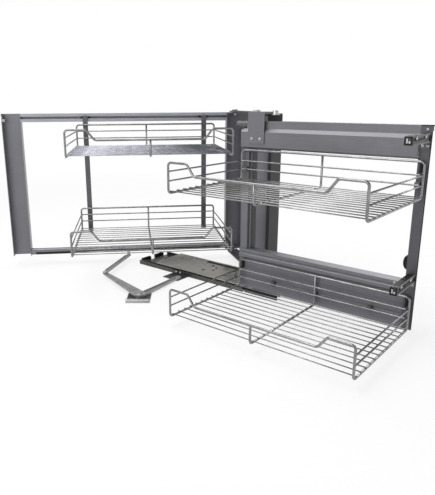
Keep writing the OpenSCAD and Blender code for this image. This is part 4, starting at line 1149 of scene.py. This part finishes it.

# Painted light: a raised strip with lighter paint, for the lit part of the post's face.
strip = rounded_outline([(236, 17.4), (277, 17.4), (277, 15.9), (236, 15.9)], 0.6)
as_piece("post_face_lit_strip", *drawn_out(strip, (0, 0, 34), *RUN_UP, 534), "carriage", "post_paint",
         post_strip_lit_paint)
# Painted shade: a dark strip on the left post's inner wall, for the shade inside it.
as_piece("left_post_shade_strip", *pad((284.7, -85.6, 157), (286.3, -58.4, 472), 0.6), "front_frame", "post_paint",
         post_paint)
lug = rounded_outline([(0, 0), (13, 0), (13, 9), (4, 9), (4, 20), (0, 20)], 0.9)
as_piece("far_upright_lug", *drawn_out(lug, (-897.6, -2.2, 545), *RUN_Y, 2.4),
         "rear_frame", "zinc", linkage_zinc, carry=on_rear)
splice = rounded_outline([(0, 0), (9, 0), (9, 5), (0, 5)], 0.8)
as_piece("rail_splice_lug", *drawn_out(splice, (-566, -1.2, 566.5), *RUN_Y, 1.4),
         "rear_frame", "zinc", linkage_zinc, carry=on_rear)
print("bumper ribs", len(stops) - 2)

# %% [markdown]
# The foot's edge is rolled over into a thick lip, and the top swing plate has a
# folded hem. Both lie at an angle on plan. No object here has a turn of its
# own, so the outline itself is drawn out along the slanting line.

# %% Rolled lip and hem
def drawn_between(outline, start, end, z):
    """An outline drawn out from one plan point to another at height z, its first axis to the left."""
    run = np.array(end, float) - start
    length = np.linalg.norm(run)
    run /= length
    return drawn_out(outline, (*start, z), (-run[1], run[0], 0), (0, 0, 1), (*run, 0), length)


FOOT_TURN = math.radians(40)
toward = np.array([math.cos(FOOT_TURN), math.sin(FOOT_TURN)])
outward = np.array([toward[1], -toward[0]])
lip_start = FOOT + 38.4 * outward - 38.2 * toward
lip = rounded_outline([(-7, 3.1), (-6, 10.2), (0, 11), (6.6, 8.6), (8.6, 2.8), (7.4, 0.05), (-2, 0.05)],
                      [0.5, 3, 3, 3, 2, 0.8, 1])
as_piece("foot_lip_roll", *drawn_out(lip, (*lip_start, 0), (*outward, 0), (0, 0, 1), (*toward, 0), 76.4),
         "runner", "zinc", linkage_zinc)

SWING_RUN = np.array([270.0, -190.0])
along = SWING_RUN / np.linalg.norm(SWING_RUN)
across = np.array([-along[1], along[0]])
near, far = (REAR_AXIS + s * along + n * across for s, n in ((82, -22.7), (298, -28.6)))
hem = rounded_outline([(-0.9, 0), (2.9, 0), (2.9, 21), (-0.9, 21)], 0.8)
as_piece("top_plate_hem", *drawn_between(hem, near, far, 538.5), "carriage", "post_paint", post_paint)
print("hem length", round(float(np.linalg.norm(far - near)), 1))

# %% [markdown]
# Lever, link and brace are pressed arms. The lever is stiffened by a shallow
# rib, the other two by upturned edges, which on the brace spread towards the
# foot. The flat arms come from the model, and only these raised lines are new.
# They are what catches the light, where a flat arm would look cut from card.

# %% Pressed arms
def rib_on(start, end, z, half_width, height):
    """A shallow pressed rib: half an ellipse (half_width cos a, height sin a) between two plan points."""
    a = np.linspace(0, math.pi, 13)
    return drawn_between(np.stack([half_width * np.cos(a), height * np.sin(a)], 1), start, end, z)


def flanges_on(start, end, z, half_start, half_end, height):
    """Two upturned edges of a pressed arm, by its half width at the start and at the end."""
    run = np.array(end, float) - start
    run /= np.linalg.norm(run)
    side = np.array([-run[1], run[0]])
    edge = rounded_outline([(-0.8, 0), (0.8, 0), (0.8, height), (-0.8, height)], 0.4)
    return joined([drawn_between(edge, start + sign * half_start * side, end + sign * half_end * side, z)
                   for sign in (-1, 1)])


lever_run = (ELBOW - FOOT) / np.linalg.norm(ELBOW - FOOT)
as_piece("lever_rib", *rib_on(FOOT + 34 * lever_run, ELBOW - 22 * lever_run, 16.45, 5, 0.9),
         "lever", "zinc", linkage_zinc)
link_run = np.array([math.cos(LINK_ANGLE), math.sin(LINK_ANGLE)])
as_piece("link_flanges", *flanges_on(ELBOW + 14 * link_run, ELBOW + 206 * link_run, 21.4, 6.6, 6.6, 3.2),
         "link", "zinc", linkage_zinc)
BRACE_START = np.array([10.0, -128.0])
brace_run = (FOOT - BRACE_START) / np.linalg.norm(FOOT - BRACE_START)
as_piece("brace_flanges", *flanges_on(BRACE_START, FOOT - 16 * brace_run, 7.9, 8.4, 11, 3.4),
         "runner", "zinc", linkage_zinc)
print("pressed arms 3")

# %% [markdown]
# The folded beams are open channels, so a small web closes each one at the
# right post. From the front it hides the hollow end of the beam. One side of
# each slants, so it is an outline drawn out and not a box.

# %% Beam ends
webs = [[(-92.4, 480.2), (-86.6, 480.2), (-86.6, 530), (-92.4, 522.8)],
        [(-89.4, 129.4), (-86.6, 127), (-86.6, 152.4), (-89.4, 152.4)]]
as_piece("beam_end_webs", *joined([drawn_out(rounded_outline(web, 0.4), (767.6, 0, 0), *RUN_X, 2.2)
                                   for web in webs]),
         "front_frame", "frame_paint", beam_paint)
print("beam ends", len(webs))

# %% [markdown]
# Rivets hold the top member together. Black discs on its holes are painted
# shade, for the dark inside them, and a black tape in the guide channel is
# painted shade, for its slot. Painted dots would look flat as the unit moves.
# So all stand a millimetre or two proud, and the plate doesn't look bare from
# above. Those of one kind share one object, since they never move apart.

# %% Rivets, hole shades and slot shade
DOT_LEVEL, DOT_SIDES = 21.95, 28
RIVETS = [(-60, 45), (-60, -45), (195, 45), (195, -45), (64, 8)]
HOLE_SHADE_SPOTS = [(79, -11), (50, 26), (72, 14), (167, 7), (178, -14)]
dome = [(0, -0.2), (4.2, -0.2), (4.2, 0.5), (3.7, 1.3), (2.4, 1.9), (0, 2.1)]
as_piece("slider_rivets", *joined([turned(dome, (x, y, DOT_LEVEL), "z", DOT_SIDES) for x, y in RIVETS]),
         "carriage", "steel", bright_steel)
# Painted shade: black discs stand for the dark inside the holes.
hole_shade_profile = [(0, -0.2), (4.6, -0.2), (4.6, 0.7), (4.1, 1.1), (2.6, 1.1), (2.2, 0.4), (0, 0.4)]
as_piece("slider_hole_shade_discs", *joined([turned(hole_shade_profile, (x, y, DOT_LEVEL), "z", DOT_SIDES) for x, y in HOLE_SHADE_SPOTS]),
         "carriage", "black_plastic", black_plastic)
# Painted shade: a black tape stands for the shaded slot of the guide channel.
slot_shade_outline = rounded_outline([(-7, 0), (4.4, 0), (4.4, 1.6), (-7, 1.6)], 0.5)
as_piece("slider_slot_shade_tape", *drawn_out(slot_shade_outline, (0, GUIDE_Y, SLIDER_TOP), *RUN_X, 200),
         "carriage", "black_plastic", black_plastic)
print("rivets", len(RIVETS), "hole_shade_discs", len(HOLE_SHADE_SPOTS))

# %% [markdown]
# The door slides end in black moulded caps. One block would look solid, so each
# cap is a frame of five rounded bars with a plated core behind it. Two black
# races run along the slide, and the one on its top is painted shade, for the
# dark gap over it. Small rivets hold the cage of its balls. All of it moves
# with the slide. Black strips on the fixed rails, painted shade for the same
# gap, stay on the rails.

# %% Door slide caps
for title, z0 in (("lower", 160.0), ("upper", 515.0)):
    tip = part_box(title + "_door_slide")[0][1] / MM
    left, right, low, high = SLIDE_X - 0.4, SLIDE_X + 17.4, z0 + 1.4, z0 + 20.6
    y0, y1 = tip - 1.2, tip + 6.3
    parts = [pad((left, y0, low), (left + 3, y1, high), 0.8), pad((right - 3, y0, low), (right, y1, high), 0.8),
             pad((left + 1, y0, low), (right - 1, y1, low + 3), 0.8),
             pad((left + 1, y0, high - 3), (right - 1, y1, high), 0.8),
             pad((left + 1, tip + 2.4, low + 1), (right - 1, y1, high - 1), 0.8)]
    as_piece(title + "_door_slide_cap", *joined(parts), title + "_door_member", "black_plastic", black_plastic)
    core = [pad((left + 4.2, tip - 0.6, low + 4.4), (left + 8, tip + 3, high - 4.4), 0.7),
            pad((left + 9.6, tip - 0.2, low + 4), (right - 4, tip + 3, low + 9), 0.7)]
    as_piece(title + "_door_slide_core", *joined(core), title + "_door_member", "steel", bright_steel)
    # Painted shade: the black race on the slide's top stands for the dark gap over it.
    shade_race = [pad((SLIDE_X + 16.6, tip + 14, z0 + 9.6), (SLIDE_X + 17.3, tip + 118, z0 + 12.4), 0.3),
            pad((SLIDE_X + 5, tip + 12, z0 + 19.6), (SLIDE_X + 7.2, tip + 118, z0 + 20.5), 0.3)]
    as_piece(title + "_door_slide_shade_race", *joined(shade_race), title + "_door_member", "black_plastic", black_plastic)
    dots = [turned(dome, (SLIDE_X + 11.5, tip + d, z0 + 19.9), "z", 24) for d in (24, 64, 104)]
    dots += [turned(dome, (SLIDE_X + 16.8, tip + d, z0 + 16), "x", 24) for d in (30, 96)]
    as_piece(title + "_door_slide_rivets", *joined(dots), title + "_door_member", "steel", bright_steel)
    print(title, "slide tip at", round(tip, 1))

# Black strips on top of the rails, painted shade for the gap above the slides: two lengths end to end, on both
# edges of each rail.
rail_shade_strips = [pad((x, y, z), (x + 7, y + 54, z + 0.9), 0.8) for z in (181.7, 536.7) for x in (779, 787.2)
          for y in (-208, -152)]
as_piece("door_rail_shade_strips", *joined(rail_shade_strips), "front_frame", "black_plastic", black_plastic)
print("rail_shade_strips", len(rail_shade_strips))

# %% [markdown]
# Small rubber and plastic parts of the front frame: the half round buffer on
# the right post, and black clips at the corners where the baskets hook on. Both
# are moulded in one section, so an outline drawn out by their thickness will do.

# %% Buffer and corner clips
BUFFER_AT, BUFFER_WIDE, BUFFER_TALL = (770.4, 208), 10.5, 19
a = np.linspace(math.pi / 2, 3 * math.pi / 2, 21)
bump = np.stack([BUFFER_AT[0] + BUFFER_WIDE * np.cos(a), BUFFER_AT[1] + BUFFER_TALL * np.sin(a)], 1)
as_piece("door_buffer_rubber", *drawn_out(bump, (0, -86.6, 0), *RUN_Y, 15),
         "front_frame", "black_plastic", black_plastic, ["door_buffer"], sharp=50)
clip_outline = rounded_outline([(0, 0), (9, 0), (9, 4), (5.2, 4), (5.2, 21), (9, 21), (9, 25), (0, 25)], 1.6)
clips = [drawn_out(clip_outline, (778.5, -96.5, z), *RUN_Y, 9.6) for z in (91, 441)]
clips.append(drawn_out(clip_outline, (265.5, -96.5, 91), (-1, 0, 0), (0, 0, 1), (0, 1, 0), 9.6))
as_piece("basket_corner_clips", *joined(clips), "front_frame", "black_plastic", black_plastic)
print("corner clips", len(clips))

# %% [markdown]
# Last, the dressed unit's box is printed. The new pieces add rounding and
# trim, and no length, so it should agree with the model's box to a fraction of
# a millimetre.

# %% Sizes and finish
low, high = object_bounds()
print("visual box", [round(v, 4) for v in (*low, *high)])
